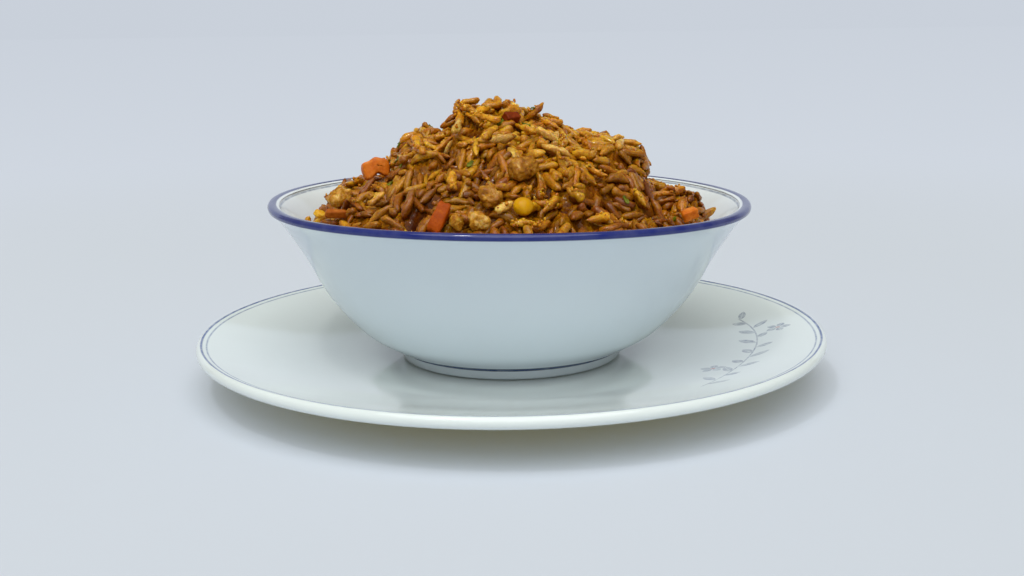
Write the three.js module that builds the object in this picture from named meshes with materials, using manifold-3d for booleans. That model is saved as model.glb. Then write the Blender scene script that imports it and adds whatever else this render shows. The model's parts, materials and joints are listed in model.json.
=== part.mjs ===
// Fried rice heaped in a footed porcelain bowl that stands on a shallow
// porcelain plate. Millimetres, +Z up. The origin is the centre of the
// plate's underside, on the surface the plate rests on.
import * as THREE from 'three';
import Module from 'manifold-3d';
import { mergeVertices } from 'three/addons/utils/BufferGeometryUtils.js';

const wasm = await Module();
wasm.setup();

// ---- driving dimensions ------------------------------------------------
const SEGMENTS = 52;          // facets round every turned piece
const GAP = 0.3;              // clearance between pieces that touch

const PLATE_RADIUS = 117.2;   // to the outside of the rolled edge
const PLATE_WELL_TOP = 8.0;   // height of the flat the bowl stands on
const PLATE_WELL_RADIUS = 62; // where the flat starts to rise
const PLATE_CREST = 18.7;     // highest point, just inside the edge
const PLATE_CREST_RADIUS = 115.2;
const PLATE_EDGE_UNDER = 14.2; // underside of the rolled edge
const PLATE_FOOT_RADIUS = 69; // outside of the foot ring
const PLATE_FOOT_WIDTH = 5.5;
const PLATE_UNDER = 3.6;      // underside of the well, inside the ring

const BOWL_FLOOR = PLATE_WELL_TOP + GAP;
const BOWL_LIP_RADIUS = 89.0;
const BOWL_HEIGHT = 59.4;     // foot to top of lip
const BOWL_FOOT_RADIUS = 41.4;
const BOWL_FOOT_HEIGHT = 3.8;
const BOWL_FOOT_WIDTH = 4.6;
const BOWL_WALL = 3.2;        // wall, measured square to it
const BOWL_BASE = 5.6;        // inside floor above the foot

const HEAP_RADIUS = 75.0;     // rim of the rice inside the bowl
const HEAP_EDGE = 61.3;       // height of that rim
const HEAP_RISE = 38.2;       // dome above the rim
const HEAP_POWER = 1.73;
const HEAP_LUMP = 1.3;        // clumps standing out of the dome
const CORN_SIZE = 7.0;
const CARROT_DICE = 9.0;

// ---- helpers -------------------------------------------------------------
const V2 = (x, y) => new THREE.Vector2(x, y);

// Closed solid as a manifold, from any closed three.js geometry.
function solid(geometry, matrix = new THREE.Matrix4()) {
  const g = geometry.clone().applyMatrix4(matrix);
  g.deleteAttribute('normal');
  g.deleteAttribute('uv');
  const m = mergeVertices(g, 1e-4);
  const index = [];
  for (let i = 0; i < m.index.count; i += 3) {
    const t = [m.index.getX(i), m.index.getX(i + 1), m.index.getX(i + 2)];
    if (t[0] !== t[1] && t[1] !== t[2] && t[0] !== t[2]) index.push(...t);
  }
  return new wasm.Manifold(new wasm.Mesh({
    numProp: 3,
    vertProperties: new Float32Array(m.attributes.position.array),
    triVerts: new Uint32Array(index),
  }));
}

function geometryOf(manifold) {
  const mesh = manifold.getMesh();
  const g = new THREE.BufferGeometry();
  g.setAttribute('position', new THREE.BufferAttribute(new Float32Array(mesh.vertProperties), 3));
  g.setIndex(new THREE.BufferAttribute(new Uint32Array(mesh.triVerts), 1));
  g.computeVertexNormals();
  return g;
}

// A profile turned about Z. It starts and ends on the axis.
function turned(profile) {
  return new THREE.LatheGeometry(profile, SEGMENTS).rotateX(Math.PI / 2);
}

const curve = (points, count) => new THREE.SplineCurve(points).getPoints(count);

const smooth = (t) => t * t * (3 - 2 * t);

// Small steady unevenness, a sum of a few waves in different directions.
function uneven(x, y, z, seed) {
  return (Math.sin(0.61 * x + 0.37 * y + seed) + Math.sin(-0.43 * x + 0.71 * y + 0.29 * z + 2.1 * seed)
    + Math.sin(0.83 * z + 0.31 * x - 0.27 * y + 3.7 * seed)) / 3;
}

// ---- plate ---------------------------------------------------------------
function plateProfile() {
  const p = [];
  p.push(V2(0, PLATE_UNDER));
  const footIn = PLATE_FOOT_RADIUS - PLATE_FOOT_WIDTH;
  p.push(V2(footIn - 2.2, PLATE_UNDER));
  p.push(V2(footIn, 0.5));
  p.push(V2(footIn + 0.9, 0));
  p.push(V2(PLATE_FOOT_RADIUS - 0.9, 0));
  p.push(V2(PLATE_FOOT_RADIUS, 0.6));
  p.push(V2(PLATE_FOOT_RADIUS + 1.2, PLATE_UNDER + 0.9));
  // underside rises to the edge
  for (const t of [0.3, 0.6, 0.85]) {
    p.push(V2(
      PLATE_FOOT_RADIUS + 1.2 + t * (PLATE_RADIUS - 4.4 - PLATE_FOOT_RADIUS - 1.2),
      PLATE_UNDER + 0.9 + t * t * 0.55 * (PLATE_EDGE_UNDER - PLATE_UNDER - 0.9)
        + t * 0.45 * (PLATE_EDGE_UNDER - PLATE_UNDER - 0.9),
    ));
  }
  p.push(V2(PLATE_RADIUS - 3.0, PLATE_EDGE_UNDER - 0.2));
  p.push(V2(PLATE_RADIUS - 1.1, PLATE_EDGE_UNDER + 0.5));
  p.push(V2(PLATE_RADIUS - 0.1, PLATE_EDGE_UNDER + 1.9));
  p.push(V2(PLATE_RADIUS - 0.2, PLATE_EDGE_UNDER + 3.8));
  p.push(V2(PLATE_RADIUS - 0.9, PLATE_CREST - 0.6));
  p.push(V2(PLATE_CREST_RADIUS, PLATE_CREST));
  // the face dips gently back to the well
  for (const t of [0.05, 0.25, 0.5, 0.75]) {
    const r = PLATE_CREST_RADIUS + t * (PLATE_WELL_RADIUS - PLATE_CREST_RADIUS);
    p.push(V2(r, plateTop(r)));
  }
  p.push(V2(PLATE_WELL_RADIUS, PLATE_WELL_TOP));
  p.push(V2(0, PLATE_WELL_TOP));
  return p;
}

// Height of the plate's upper face at radius r.
function plateTop(r) {
  if (r <= PLATE_WELL_RADIUS) return PLATE_WELL_TOP;
  const t = (r - PLATE_WELL_RADIUS) / (PLATE_CREST_RADIUS - PLATE_WELL_RADIUS);
  return PLATE_WELL_TOP + (PLATE_CREST - 0.3 - PLATE_WELL_TOP) * Math.pow(t, 1.45);
}

// ---- bowl ----------------------------------------------------------------
// The outer wall leaves the foot almost flat, stands up, then flares again
// into the everted lip. Radius and height above the foot.
const BOWL_OUTSIDE = [
  V2(BOWL_FOOT_RADIUS + 4.4, 5.4),
  V2(BOWL_FOOT_RADIUS + 15.0, 12.0),
  V2(BOWL_FOOT_RADIUS + 26.4, 25.0),
  V2(BOWL_FOOT_RADIUS + 35.4, 41.0),
  V2(BOWL_LIP_RADIUS - 4.4, 53.2),
  V2(BOWL_LIP_RADIUS - 0.3, 57.2),
];
const wallOutside = curve(BOWL_OUTSIDE, 11);

// The inner wall runs BOWL_WALL inside the outer one.
function wallInside() {
  const spline = new THREE.SplineCurve(BOWL_OUTSIDE);
  const inner = [];
  for (const t of [0.93, 0.86, 0.78, 0.69, 0.6, 0.5, 0.4, 0.3, 0.2]) {
    const at = spline.getPoint(t);
    const dir = spline.getTangent(t);
    const thick = BOWL_WALL + 0.9 * smooth(Math.min(1, (1 - t) / 0.9)) ;
    inner.push(V2(at.x - dir.y * thick, at.y + dir.x * thick));
  }
  return inner;
}
const insideWall = wallInside();
const INSIDE = [
  ...insideWall,
  V2(34, BOWL_BASE + 1.7),
  V2(20, BOWL_BASE + 0.5),
  V2(0, BOWL_BASE),
];

function bowlProfile() {
  const footIn = BOWL_FOOT_RADIUS - BOWL_FOOT_WIDTH;
  const p = [
    V2(0, 3.0),
    V2(footIn - 1.2, 2.8),
    V2(footIn, 0.5),
    V2(footIn + 0.8, 0),
    V2(BOWL_FOOT_RADIUS - 0.8, 0),
    V2(BOWL_FOOT_RADIUS, 0.7),
    V2(BOWL_FOOT_RADIUS + 0.7, BOWL_FOOT_HEIGHT),
    ...wallOutside,
    V2(BOWL_LIP_RADIUS, BOWL_HEIGHT - 1.3),
    V2(BOWL_LIP_RADIUS - 0.5, BOWL_HEIGHT - 0.4),
    V2(BOWL_LIP_RADIUS - 1.5, BOWL_HEIGHT),
    V2(BOWL_LIP_RADIUS - 2.9, BOWL_HEIGHT - 0.1),
    V2(BOWL_LIP_RADIUS - 4.7, BOWL_HEIGHT - 0.9),
    ...INSIDE,
  ];
  return p.map((q) => V2(q.x, q.y + BOWL_FLOOR));
}

// ---- rice heap -----------------------------------------------------------
// Clumps and hollows on the dome: x, y, height, spread in x and in y.
const SHOULDERS = [
  [-8, 2, 7.2, 13, 15],    // crown, left of the middle
  [-31, -2, 2.3, 8, 16],   // left shoulder
  [-46, 0, -4.0, 5, 25],   // step below it
  [41, 0, 4.0, 9, 20],     // right shoulder
  [56.5, 0, -5.7, 6, 45],  // steep drop past it
  [2, 0, -2.0, 7, 14],
  [-68, 0, 2.3, 6, 30],
];
const heapRim = (a) => HEAP_RADIUS - 0.6 + 0.8 * Math.sin(3 * a + 0.7) + 0.6 * Math.sin(7 * a + 2.0);

function heapTop(x, y) {
  const r = Math.min(1.1, Math.hypot(x, y) / HEAP_RADIUS);
  let z = HEAP_EDGE + HEAP_RISE * (1 - Math.pow(r, HEAP_POWER));
  for (const [bx, by, rise, sx, sy] of SHOULDERS) {
    z += rise * Math.exp(-(((x - bx) / sx) ** 2) - ((y - by) / sy) ** 2);
  }
  return z + HEAP_LUMP * uneven(x, y, 0, 1.3) * (1 + 0.6 * Math.sin(0.2 * x - 0.26 * y));
}

function riceHeap() {
  const rings = [0.09, 0.18, 0.27, 0.36, 0.45, 0.54, 0.63, 0.71, 0.79, 0.86, 0.92, 0.97, 1.0];
  const position = [0, 0, heapTop(0, 0)];
  const index = [];
  const ringStart = [];
  const addRing = (pointAt) => {
    ringStart.push(position.length / 3);
    for (let j = 0; j < SEGMENTS; j++) {
      // the same phase as the turned bowl, so that the gap stays even
      const a = (j / SEGMENTS) * 2 * Math.PI;
      position.push(...pointAt(a));
    }
  };
  for (const k of rings) {
    addRing((a) => {
      const r = heapRim(a) * k;
      const x = r * Math.sin(a);
      const y = -r * Math.cos(a);
      return [x, y, heapTop(x, y) - (k === 1 ? 2.2 : 0)];
    });
  }
  // down the wall of the bowl and across its floor
  const below = INSIDE.filter((q) => q.x < HEAP_RADIUS - 2.2 && q.x > 0);
  let previous = V2(BOWL_LIP_RADIUS, BOWL_HEIGHT);
  for (const q of below) {
    const next = INSIDE[INSIDE.indexOf(q) + 1];
    const dir = V2(next.x - previous.x, next.y - previous.y).normalize();
    const x = q.x + dir.y * GAP * 1.2;
    const y = q.y - dir.x * GAP * 1.2 + BOWL_FLOOR;
    addRing((a) => [x * Math.sin(a), -x * Math.cos(a), y]);
    previous = q;
  }
  const bottom = position.length / 3;
  position.push(0, 0, BOWL_BASE + BOWL_FLOOR + GAP * 1.2);
  for (let j = 0; j < SEGMENTS; j++) {
    const n = (j + 1) % SEGMENTS;
    index.push(0, ringStart[0] + j, ringStart[0] + n);
    for (let i = 0; i + 1 < ringStart.length; i++) {
      const a = ringStart[i] + j, b = ringStart[i] + n;
      const c = ringStart[i + 1] + j, d = ringStart[i + 1] + n;
      index.push(a, c, d, a, d, b);
    }
    const last = ringStart[ringStart.length - 1];
    index.push(bottom, last + n, last + j);
  }
  const g = new THREE.BufferGeometry();
  g.setAttribute('position', new THREE.Float32BufferAttribute(position, 3));
  g.setIndex(index);
  return g;
}

// ---- toppings ------------------------------------------------------------
// Where a topping sits: half sunk in the heap's surface at x, y.
function seat(x, y, lift, turn) {
  const m = new THREE.Matrix4().makeRotationFromEuler(new THREE.Euler(...turn));
  m.setPosition(x, y, heapTop(x, y) + lift);
  return m;
}

// A soft uneven lump.
function lump(a, b, c, detail, seed) {
  const g = mergeVertices(new THREE.IcosahedronGeometry(1, detail).deleteAttribute('normal').deleteAttribute('uv'), 1e-4);
  const p = g.attributes.position;
  for (let i = 0; i < p.count; i++) {
    const x = p.getX(i), y = p.getY(i), z = p.getZ(i);
    const s = 1 + 0.14 * uneven(4 * x, 4 * y, 4 * z, seed);
    p.setXYZ(i, x * s * a / 2, y * s * b / 2, z * s * c / 2);
  }
  return g;
}

// A cut cube of vegetable with softened edges, wider at one end.
function dice(a, b, c, taper) {
  const s = new THREE.Shape();
  s.moveTo(-a / 2, -b / 2);
  s.lineTo(a / 2, -b / 2 * taper);
  s.lineTo(a / 2 * 0.92, b / 2 * taper);
  s.lineTo(-a / 2 * 0.96, b / 2);
  s.closePath();
  const bevel = Math.min(a, b, c) * 0.1;
  return new THREE.ExtrudeGeometry(s, {
    depth: c - 2 * bevel, steps: 1, bevelEnabled: true,
    bevelThickness: bevel, bevelSize: bevel, bevelOffset: -bevel, bevelSegments: 1,
  }).translate(0, 0, -c / 2 + bevel);
}

// A bent slab: a cut piece with a hollow on one side.
function hollowed(size, open = true) {
  const s = new THREE.Shape();
  const h = size / 2;
  s.moveTo(-h, -0.55 * h);
  s.lineTo(-0.3 * h, -0.62 * h);
  if (open) {
    s.lineTo(-0.1 * h, -0.1 * h);
    s.lineTo(0.3 * h, -0.08 * h);
  }
  s.lineTo(0.42 * h, -0.62 * h);
  s.lineTo(h, -0.5 * h);
  s.lineTo(0.86 * h, 0.42 * h);
  s.lineTo(0.1 * h, 0.78 * h);
  s.lineTo(-0.82 * h, 0.3 * h);
  s.closePath();
  return new THREE.ExtrudeGeometry(s, {
    depth: 0.6 * size, steps: 1, bevelEnabled: true,
    bevelThickness: 0.5, bevelSize: 0.4, bevelOffset: -0.4, bevelSegments: 1,
  }).translate(0, 0, -0.3 * size);
}

// A kernel of sweetcorn: broad crown, narrow tip.
function kernel(size) {
  const h = size / 2;
  const profile = [
    V2(0, -h), V2(0.42 * h, -0.92 * h), V2(0.74 * h, -0.5 * h), V2(0.94 * h, 0),
    V2(0.98 * h, 0.4 * h), V2(0.78 * h, 0.8 * h), V2(0.4 * h, 0.97 * h), V2(0, h),
  ];
  return new THREE.LatheGeometry(profile, 14).scale(1, 1, 0.82);
}

const CARROT = 0xd9601c, EGG = 0xcfa04a, CORN = 0xe2a80e, MEAT = 0xb9803c, HAM = 0x9c3512;
const TOPPINGS = [
  { name: 'carrot_dice_left', colour: CARROT, shape: hollowed(CARROT_DICE + 0.8), clear: hollowed(CARROT_DICE + 0.8, false),
    at: seat(-48.4, -9.5, 1.8, [1.35, 0.15, 0.2]) },
  { name: 'carrot_stick_front', colour: CARROT, shape: dice(10.4, 5.0, 4.6, 0.72),
    at: seat(-22.9, -62.5, 0.9, [-0.35, -1.15, 0]) },
  { name: 'carrot_bit_right', colour: CARROT, shape: dice(5.6, 3.8, 3.6, 0.85),
    at: seat(62.7, -34.1, 0.4, [0.3, -0.3, 0.2]) },
  { name: 'carrot_sliver_left', colour: HAM, shape: dice(7.4, 2.9, 2.6, 0.8),
    at: seat(-60.3, -34.0, 0.5, [0.3, 0.1, 0.15]) },
  { name: 'pepper_bit_top', colour: HAM, shape: dice(6.0, 3.8, 3.2, 0.75),
    at: seat(1.2, -14.6, 0.4, [0.6, 0.4, 0.5]) },
  { name: 'corn_kernel', colour: CORN, shape: kernel(CORN_SIZE),
    at: seat(4.6, -62.7, 1.8, [0.5, 0.2, 0.3]) },
  { name: 'egg_bit_left', colour: CORN, shape: lump(6.8, 4.6, 3.4, 1, 0.4),
    at: seat(-67.0, -25.8, 0.4, [0.1, 0.1, 0.3]) },
  { name: 'egg_lump_left', colour: EGG, shape: lump(10.2, 9.4, 9.0, 1, 1.1),
    at: seat(-59.4, -22.6, 0.9, [0, 0.2, 0.4]) },
  { name: 'egg_lump_centre', colour: MEAT, shape: lump(12.6, 11.0, 10.8, 2, 2.3),
    at: seat(4.6, -44.4, -0.8, [0.3, 0, 0.3]) },
  { name: 'egg_lump_middle', colour: EGG, shape: lump(12.4, 9.4, 10.0, 1, 3.1),
    at: seat(-5.6, -56.6, -1.4, [0.2, 0.3, 0]) },
  { name: 'meat_bit_front', colour: EGG, shape: lump(8.6, 7.6, 8.2, 1, 4.2),
    at: seat(-9.8, -64.8, -0.4, [0, 0.2, 0.8]) },
  { name: 'meat_bit_front_left', colour: EGG, shape: lump(6.6, 6.0, 6.4, 1, 5.6),
    at: seat(-17.4, -63.6, 0.2, [0.4, 0, 0.1]) },
];

// Each topping, and the same shape grown by the gap, which the rice and
// the toppings made before it leave free.
function grown(geometry, by) {
  const g = geometry.clone();
  g.computeBoundingBox();
  const size = g.boundingBox.getSize(new THREE.Vector3());
  const mid = g.boundingBox.getCenter(new THREE.Vector3());
  g.translate(-mid.x, -mid.y, -mid.z);
  g.scale(1 + 2 * by / size.x, 1 + 2 * by / size.y, 1 + 2 * by / size.z);
  return g.translate(mid.x, mid.y, mid.z);
}

// ---- assembly ------------------------------------------------------------
const group = new THREE.Group();
function add(name, geometry, colour, roughness, metalness = 0) {
  const material = new THREE.MeshStandardMaterial({ color: colour, roughness, metalness });
  const mesh = new THREE.Mesh(geometry, material);
  mesh.name = name;
  group.add(mesh);
  return mesh;
}

add('plate', geometryOf(solid(turned(plateProfile()))), 0xdfe8ea, 0.15);
add('bowl', geometryOf(solid(turned(bowlProfile()))), 0xd6e0e4, 0.12);

let rice = solid(riceHeap());
const placed = [];
for (const t of TOPPINGS) {
  let body = solid(t.shape, t.at);
  for (const other of placed) body = body.subtract(other);
  const room = solid(grown(t.clear ?? t.shape, GAP * 1.3), t.at);
  rice = rice.subtract(room);
  placed.push(room);
  add(t.name, geometryOf(body), t.colour, 0.4);
}
add('rice_heap', geometryOf(rice), 0xa5692a, 0.5);

export default group;
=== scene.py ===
import bpy
import json
import math
import numpy as np
from mathutils import Matrix, Vector

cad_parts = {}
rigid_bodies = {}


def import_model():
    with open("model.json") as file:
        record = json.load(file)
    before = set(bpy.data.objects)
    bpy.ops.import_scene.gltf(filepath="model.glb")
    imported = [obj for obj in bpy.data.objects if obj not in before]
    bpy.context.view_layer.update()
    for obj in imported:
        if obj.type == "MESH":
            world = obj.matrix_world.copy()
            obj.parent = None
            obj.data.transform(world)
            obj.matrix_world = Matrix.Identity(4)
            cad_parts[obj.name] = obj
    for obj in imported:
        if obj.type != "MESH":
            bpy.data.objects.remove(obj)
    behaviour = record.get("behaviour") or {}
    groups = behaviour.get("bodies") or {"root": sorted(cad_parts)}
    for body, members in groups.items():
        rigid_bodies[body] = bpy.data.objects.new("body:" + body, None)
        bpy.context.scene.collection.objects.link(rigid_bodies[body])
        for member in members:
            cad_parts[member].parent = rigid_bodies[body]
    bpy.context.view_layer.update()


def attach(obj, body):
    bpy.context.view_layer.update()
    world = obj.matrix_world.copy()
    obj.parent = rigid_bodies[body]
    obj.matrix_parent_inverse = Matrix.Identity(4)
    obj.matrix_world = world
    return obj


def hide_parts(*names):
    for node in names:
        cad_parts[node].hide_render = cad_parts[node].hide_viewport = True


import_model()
MM = 0.001

# ---------------------------------------------------------------- dimensions
# All in millimetres, the same values as the solids.
PLATE_RADIUS, PLATE_WELL_TOP, PLATE_WELL_RADIUS = 117.2, 8.0, 62.0
PLATE_CREST, PLATE_CREST_RADIUS, PLATE_EDGE_UNDER = 18.7, 115.2, 14.2
PLATE_FOOT_RADIUS, PLATE_FOOT_WIDTH, PLATE_UNDER = 69.0, 5.5, 3.6
BOWL_FLOOR, BOWL_LIP_RADIUS, BOWL_HEIGHT = 8.3, 89.0, 59.4
BOWL_FOOT_RADIUS, BOWL_FOOT_HEIGHT, BOWL_FOOT_WIDTH = 41.4, 3.8, 4.6
BOWL_WALL, BOWL_BASE = 3.2, 5.6
HEAP_RADIUS, HEAP_EDGE, HEAP_RISE, HEAP_POWER, HEAP_LUMP = 75.0, 61.3, 38.2, 1.73, 1.3
SHOULDERS = [(-8, 2, 7.2, 13, 15), (-31, -2, 2.3, 8, 16), (-46, 0, -4.0, 5, 25), (41, 0, 4.0, 9, 20),
             (56.5, 0, -5.7, 6, 45), (2, 0, -2.0, 7, 14), (-68, 0, 2.3, 6, 30)]

rng = np.random.default_rng(7)


# ---------------------------------------------------------------- mesh helpers
def make_mesh(name, verts, faces, mats=(), smooth=True, attrs=None):
    """verts in mm (n, 3); faces a list of index arrays, all of one length each."""
    me = bpy.data.meshes.new(name)
    verts = np.asarray(verts, np.float64) * MM
    groups = faces if isinstance(faces, list) else [faces]
    loops = np.concatenate([np.asarray(g, np.int32).ravel() for g in groups])
    totals = np.concatenate([np.full(len(g), np.asarray(g).shape[1], np.int32) for g in groups])
    starts = np.concatenate([[0], np.cumsum(totals)[:-1]]).astype(np.int32)
    me.vertices.add(len(verts))
    me.vertices.foreach_set("co", verts.astype(np.float32).ravel())
    me.loops.add(len(loops))
    me.loops.foreach_set("vertex_index", loops)
    me.polygons.add(len(totals))
    me.polygons.foreach_set("loop_start", starts)
    me.polygons.foreach_set("loop_total", totals)
    me.update(calc_edges=True)
    me.validate()
    if smooth:
        me.polygons.foreach_set("use_smooth", np.ones(len(me.polygons), bool))
    for key, values in (attrs or {}).items():
        values = np.asarray(values, np.float32)
        if values.ndim == 1:
            a = me.attributes.new(key, "FLOAT", "POINT")
            a.data.foreach_set("value", values)
        else:
            a = me.attributes.new(key, "FLOAT_COLOR", "POINT")
            rgba = np.ones((len(values), 4), np.float32)
            rgba[:, :3] = values
            a.data.foreach_set("color", rgba.ravel())
    me.update()
    ob = bpy.data.objects.new(name, me)
    bpy.context.scene.collection.objects.link(ob)
    for m in mats:
        me.materials.append(m)
    return ob


def catmull(points, t):
    """The uniform Catmull-Rom spline through points, at t from 0 to 1, and its direction."""
    p = np.asarray(points, float)
    n = len(p)
    t = np.atleast_1d(t) * (n - 1)
    i = np.minimum(np.floor(t).astype(int), n - 1)
    w = (t - i)[:, None]
    i0 = np.where(i == 0, i, i - 1)
    p0, p1 = p[i0], p[i]
    p2 = p[np.minimum(i + 1, n - 1)]
    p3 = p[np.minimum(i + 2, n - 1)]
    v0, v1 = (p2 - p0) * 0.5, (p3 - p1) * 0.5
    at = (2 * p1 - 2 * p2 + v0 + v1) * w**3 + (-3 * p1 + 3 * p2 - 2 * v0 - v1) * w**2 + v0 * w + p1
    d = 3 * (2 * p1 - 2 * p2 + v0 + v1) * w**2 + 2 * (-3 * p1 + 3 * p2 - 2 * v0 - v1) * w + v0
    return at, d / np.linalg.norm(d, axis=1)[:, None]


def soften(profile, passes=2, keep=()):
    """Rounds a profile by corner cutting, its ends kept."""
    p = np.asarray(profile, float)
    for _ in range(passes):
        q = [p[0]]
        for a, b in zip(p[:-1], p[1:]):
            q += [a * 0.75 + b * 0.25, a * 0.25 + b * 0.75]
        q.append(p[-1])
        p = np.array(q)
    return p


def lathe(name, profile, segs, mats):
    """A profile (r, z) turned about Z, from axis to axis, closed."""
    p = np.asarray(profile, float)
    inner = p[1:-1]
    n = len(inner)
    a = np.arange(segs) / segs * 2 * np.pi
    ring = np.stack([np.cos(a), np.sin(a)], -1)
    v = np.empty((n, segs, 3))
    v[:, :, :2] = inner[:, None, :1] * ring[None]
    v[:, :, 2] = inner[:, None, 1]
    verts = np.concatenate([v.reshape(-1, 3), [[0, 0, p[0, 1]], [0, 0, p[-1, 1]]]])
    i = np.arange(n - 1)[:, None] * segs
    j = np.arange(segs)[None]
    k = (j + 1) % segs
    quads = np.stack([i + j, i + k, i + segs + k, i + segs + j], -1).reshape(-1, 4)
    bottom, top = n * segs, n * segs + 1
    j1 = np.arange(segs)
    k1 = (j1 + 1) % segs
    fan0 = np.stack([np.full(segs, bottom), k1, j1], -1)
    last = (n - 1) * segs
    fan1 = np.stack([np.full(segs, top), last + j1, last + k1], -1)
    return make_mesh(name, verts, [quads, np.concatenate([fan0, fan1])], mats, attrs={"thrown_z": verts[:, 2] * MM})


# ---------------------------------------------------------------- node helpers
def material(name):
    m = bpy.data.materials.new(name)
    m.use_nodes = True
    nt = m.node_tree
    return m, nt, nt.nodes["Principled BSDF"]


def node(nt, kind, inputs=None, **props):
    n = nt.nodes.new(kind)
    for k, v in props.items():
        setattr(n, k, v)
    for k, v in (inputs or {}).items():
        if isinstance(v, bpy.types.NodeSocket):
            nt.links.new(v, n.inputs[k])
        else:
            n.inputs[k].default_value = v
    return n


def math_(nt, op, a, b=0.0, c=0.0, clamp=False):
    return node(nt, "ShaderNodeMath", {0: a, 1: b, 2: c}, operation=op, use_clamp=clamp).outputs[0]


def ramp(nt, fac, stops, interpolation="LINEAR"):
    r = node(nt, "ShaderNodeValToRGB", {0: fac})
    r.color_ramp.interpolation = interpolation
    e = r.color_ramp.elements
    while len(e) > 1:
        e.remove(e[-1])
    e[0].position, e[0].color = stops[0][0], (*stops[0][1], 1)
    for pos, col in stops[1:]:
        x = e.new(pos)
        x.color = (*col, 1)
    return r.outputs[0]


def noise(nt, vec, scale, detail=3.0, rough=0.55, distortion=0.0):
    return node(nt, "ShaderNodeTexNoise", {"Vector": vec, "Scale": scale, "Detail": detail,
                                           "Roughness": rough, "Distortion": distortion}).outputs[0]


def mix(nt, fac, a, b, blend="MIX"):
    n = node(nt, "ShaderNodeMix", data_type="RGBA", blend_type=blend)
    for key, v in ((0, fac), (6, a), (7, b)):
        if isinstance(v, bpy.types.NodeSocket):
            nt.links.new(v, n.inputs[key])
        else:
            n.inputs[key].default_value = v if key == 0 else (*v, 1)
    return n.outputs[2]


def bump(nt, height, strength, distance):
    return node(nt, "ShaderNodeBump", {"Height": height, "Strength": strength, "Distance": distance}).outputs[0]


def band(nt, x, lo, hi, soft):
    """1 between lo and hi, with edges soft wide."""
    a = math_(nt, "DIVIDE", math_(nt, "SUBTRACT", x, lo - soft / 2), soft, clamp=True)
    b = math_(nt, "DIVIDE", math_(nt, "SUBTRACT", hi + soft / 2, x), soft, clamp=True)
    return math_(nt, "MULTIPLY", a, b)


def srgb(r, g, b):
    c = np.array([r, g, b], float) / 255
    c = np.where(c <= 0.04045, c / 12.92, ((c + 0.055) / 1.055) ** 2.4)
    return tuple(float(x) for x in c)


# ---------------------------------------------------------------- porcelain
def porcelain(name, tint, marks):
    """White glazed porcelain. marks: functions of (nt, radius, height) giving (mask, colour)."""
    m, nt, bsdf = material(name)
    pos = node(nt, "ShaderNodeTexCoord").outputs["Object"]
    sep = node(nt, "ShaderNodeSeparateXYZ", {0: pos})
    x, y, z = sep.outputs
    z = node(nt, "ShaderNodeAttribute", attribute_name="thrown_z", attribute_type="GEOMETRY").outputs["Fac"]
    wob = noise(nt, pos, 90.0, 2.0)
    wob = math_(nt, "MULTIPLY", math_(nt, "SUBTRACT", wob, 0.5), 0.00022)
    r = math_(nt, "SQRT", math_(nt, "ADD", math_(nt, "MULTIPLY", x, x), math_(nt, "MULTIPLY", y, y)))
    r = math_(nt, "ADD", r, wob)
    cloud = noise(nt, pos, 22.0, 4.0)
    col = ramp(nt, cloud, [(0.3, tuple(c * 0.97 for c in tint)), (0.7, tint)])
    # tiny iron specks in the body, under the glaze
    speck = node(nt, "ShaderNodeTexVoronoi", {"Vector": pos, "Scale": 170.0, "Randomness": 1.0})
    dot = math_(nt, "LESS_THAN", speck.outputs["Distance"], 0.028)
    pick = math_(nt, "GREATER_THAN", node(nt, "ShaderNodeSeparateXYZ", {0: speck.outputs["Color"]}).outputs[0], 0.86)
    col = mix(nt, math_(nt, "MULTIPLY", math_(nt, "MULTIPLY", dot, pick), 0.25), col, (0.33, 0.3, 0.27))
    for mark in marks:
        mask, colour = mark(nt, pos, r, z)
        col = mix(nt, mask, col, colour)
    nt.links.new(col, bsdf.inputs["Base Color"])
    rough = ramp(nt, noise(nt, pos, 60.0, 5.0), [(0.3, (0.07,) * 3), (0.75, (0.13,) * 3)])
    nt.links.new(rough, bsdf.inputs["Roughness"])
    bsdf.inputs["IOR"].default_value = 1.5
    bsdf.inputs["Coat Weight"].default_value = 0.12
    bsdf.inputs["Coat Roughness"].default_value = 0.04
    wave = math_(nt, "ADD", noise(nt, pos, 14.0, 1.0), math_(nt, "MULTIPLY", noise(nt, pos, 420.0, 2.0), 0.03))
    nt.links.new(bump(nt, wave, 0.25, 0.0012), bsdf.inputs["Normal"])
    return m


def brushed(nt, pos, mask, low, amount, scale=260.0):
    """Thins a printed or brushed mark unevenly."""
    n = noise(nt, pos, scale, 4.0)
    k = ramp(nt, n, [(0.3, (low,) * 3), (0.65, (1.0,) * 3)])
    return math_(nt, "MULTIPLY", math_(nt, "MULTIPLY", mask, k), amount)


def mark_plate_outer(nt, pos, r, z):
    up = math_(nt, "GREATER_THAN", z, 0.0165)
    m = math_(nt, "MULTIPLY", band(nt, r, 0.1147, 0.1155, 0.00035), up)
    return brushed(nt, pos, m, 0.7, 1.0), srgb(66, 90, 146)


def mark_plate_inner(nt, pos, r, z):
    up = math_(nt, "GREATER_THAN", z, 0.0165)
    m = math_(nt, "MULTIPLY", band(nt, r, 0.1129, 0.1135, 0.00035), up)
    return brushed(nt, pos, m, 0.5, 0.8), srgb(92, 114, 158)


def mark_lip(nt, pos, r, z):
    m = math_(nt, "MULTIPLY", band(nt, r, 0.0857, 0.12, 0.0005), band(nt, z, 0.0654, 0.08, 0.0004))
    return brushed(nt, pos, m, 0.96, 1.0, 120.0), srgb(2, 26, 112)


def mark_inner_line(nt, pos, r, z):
    m = math_(nt, "MULTIPLY", band(nt, r, 0.0840, 0.0846, 0.0003), math_(nt, "GREATER_THAN", z, 0.0655))
    return brushed(nt, pos, m, 0.5, 0.8), srgb(92, 110, 140)


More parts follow.
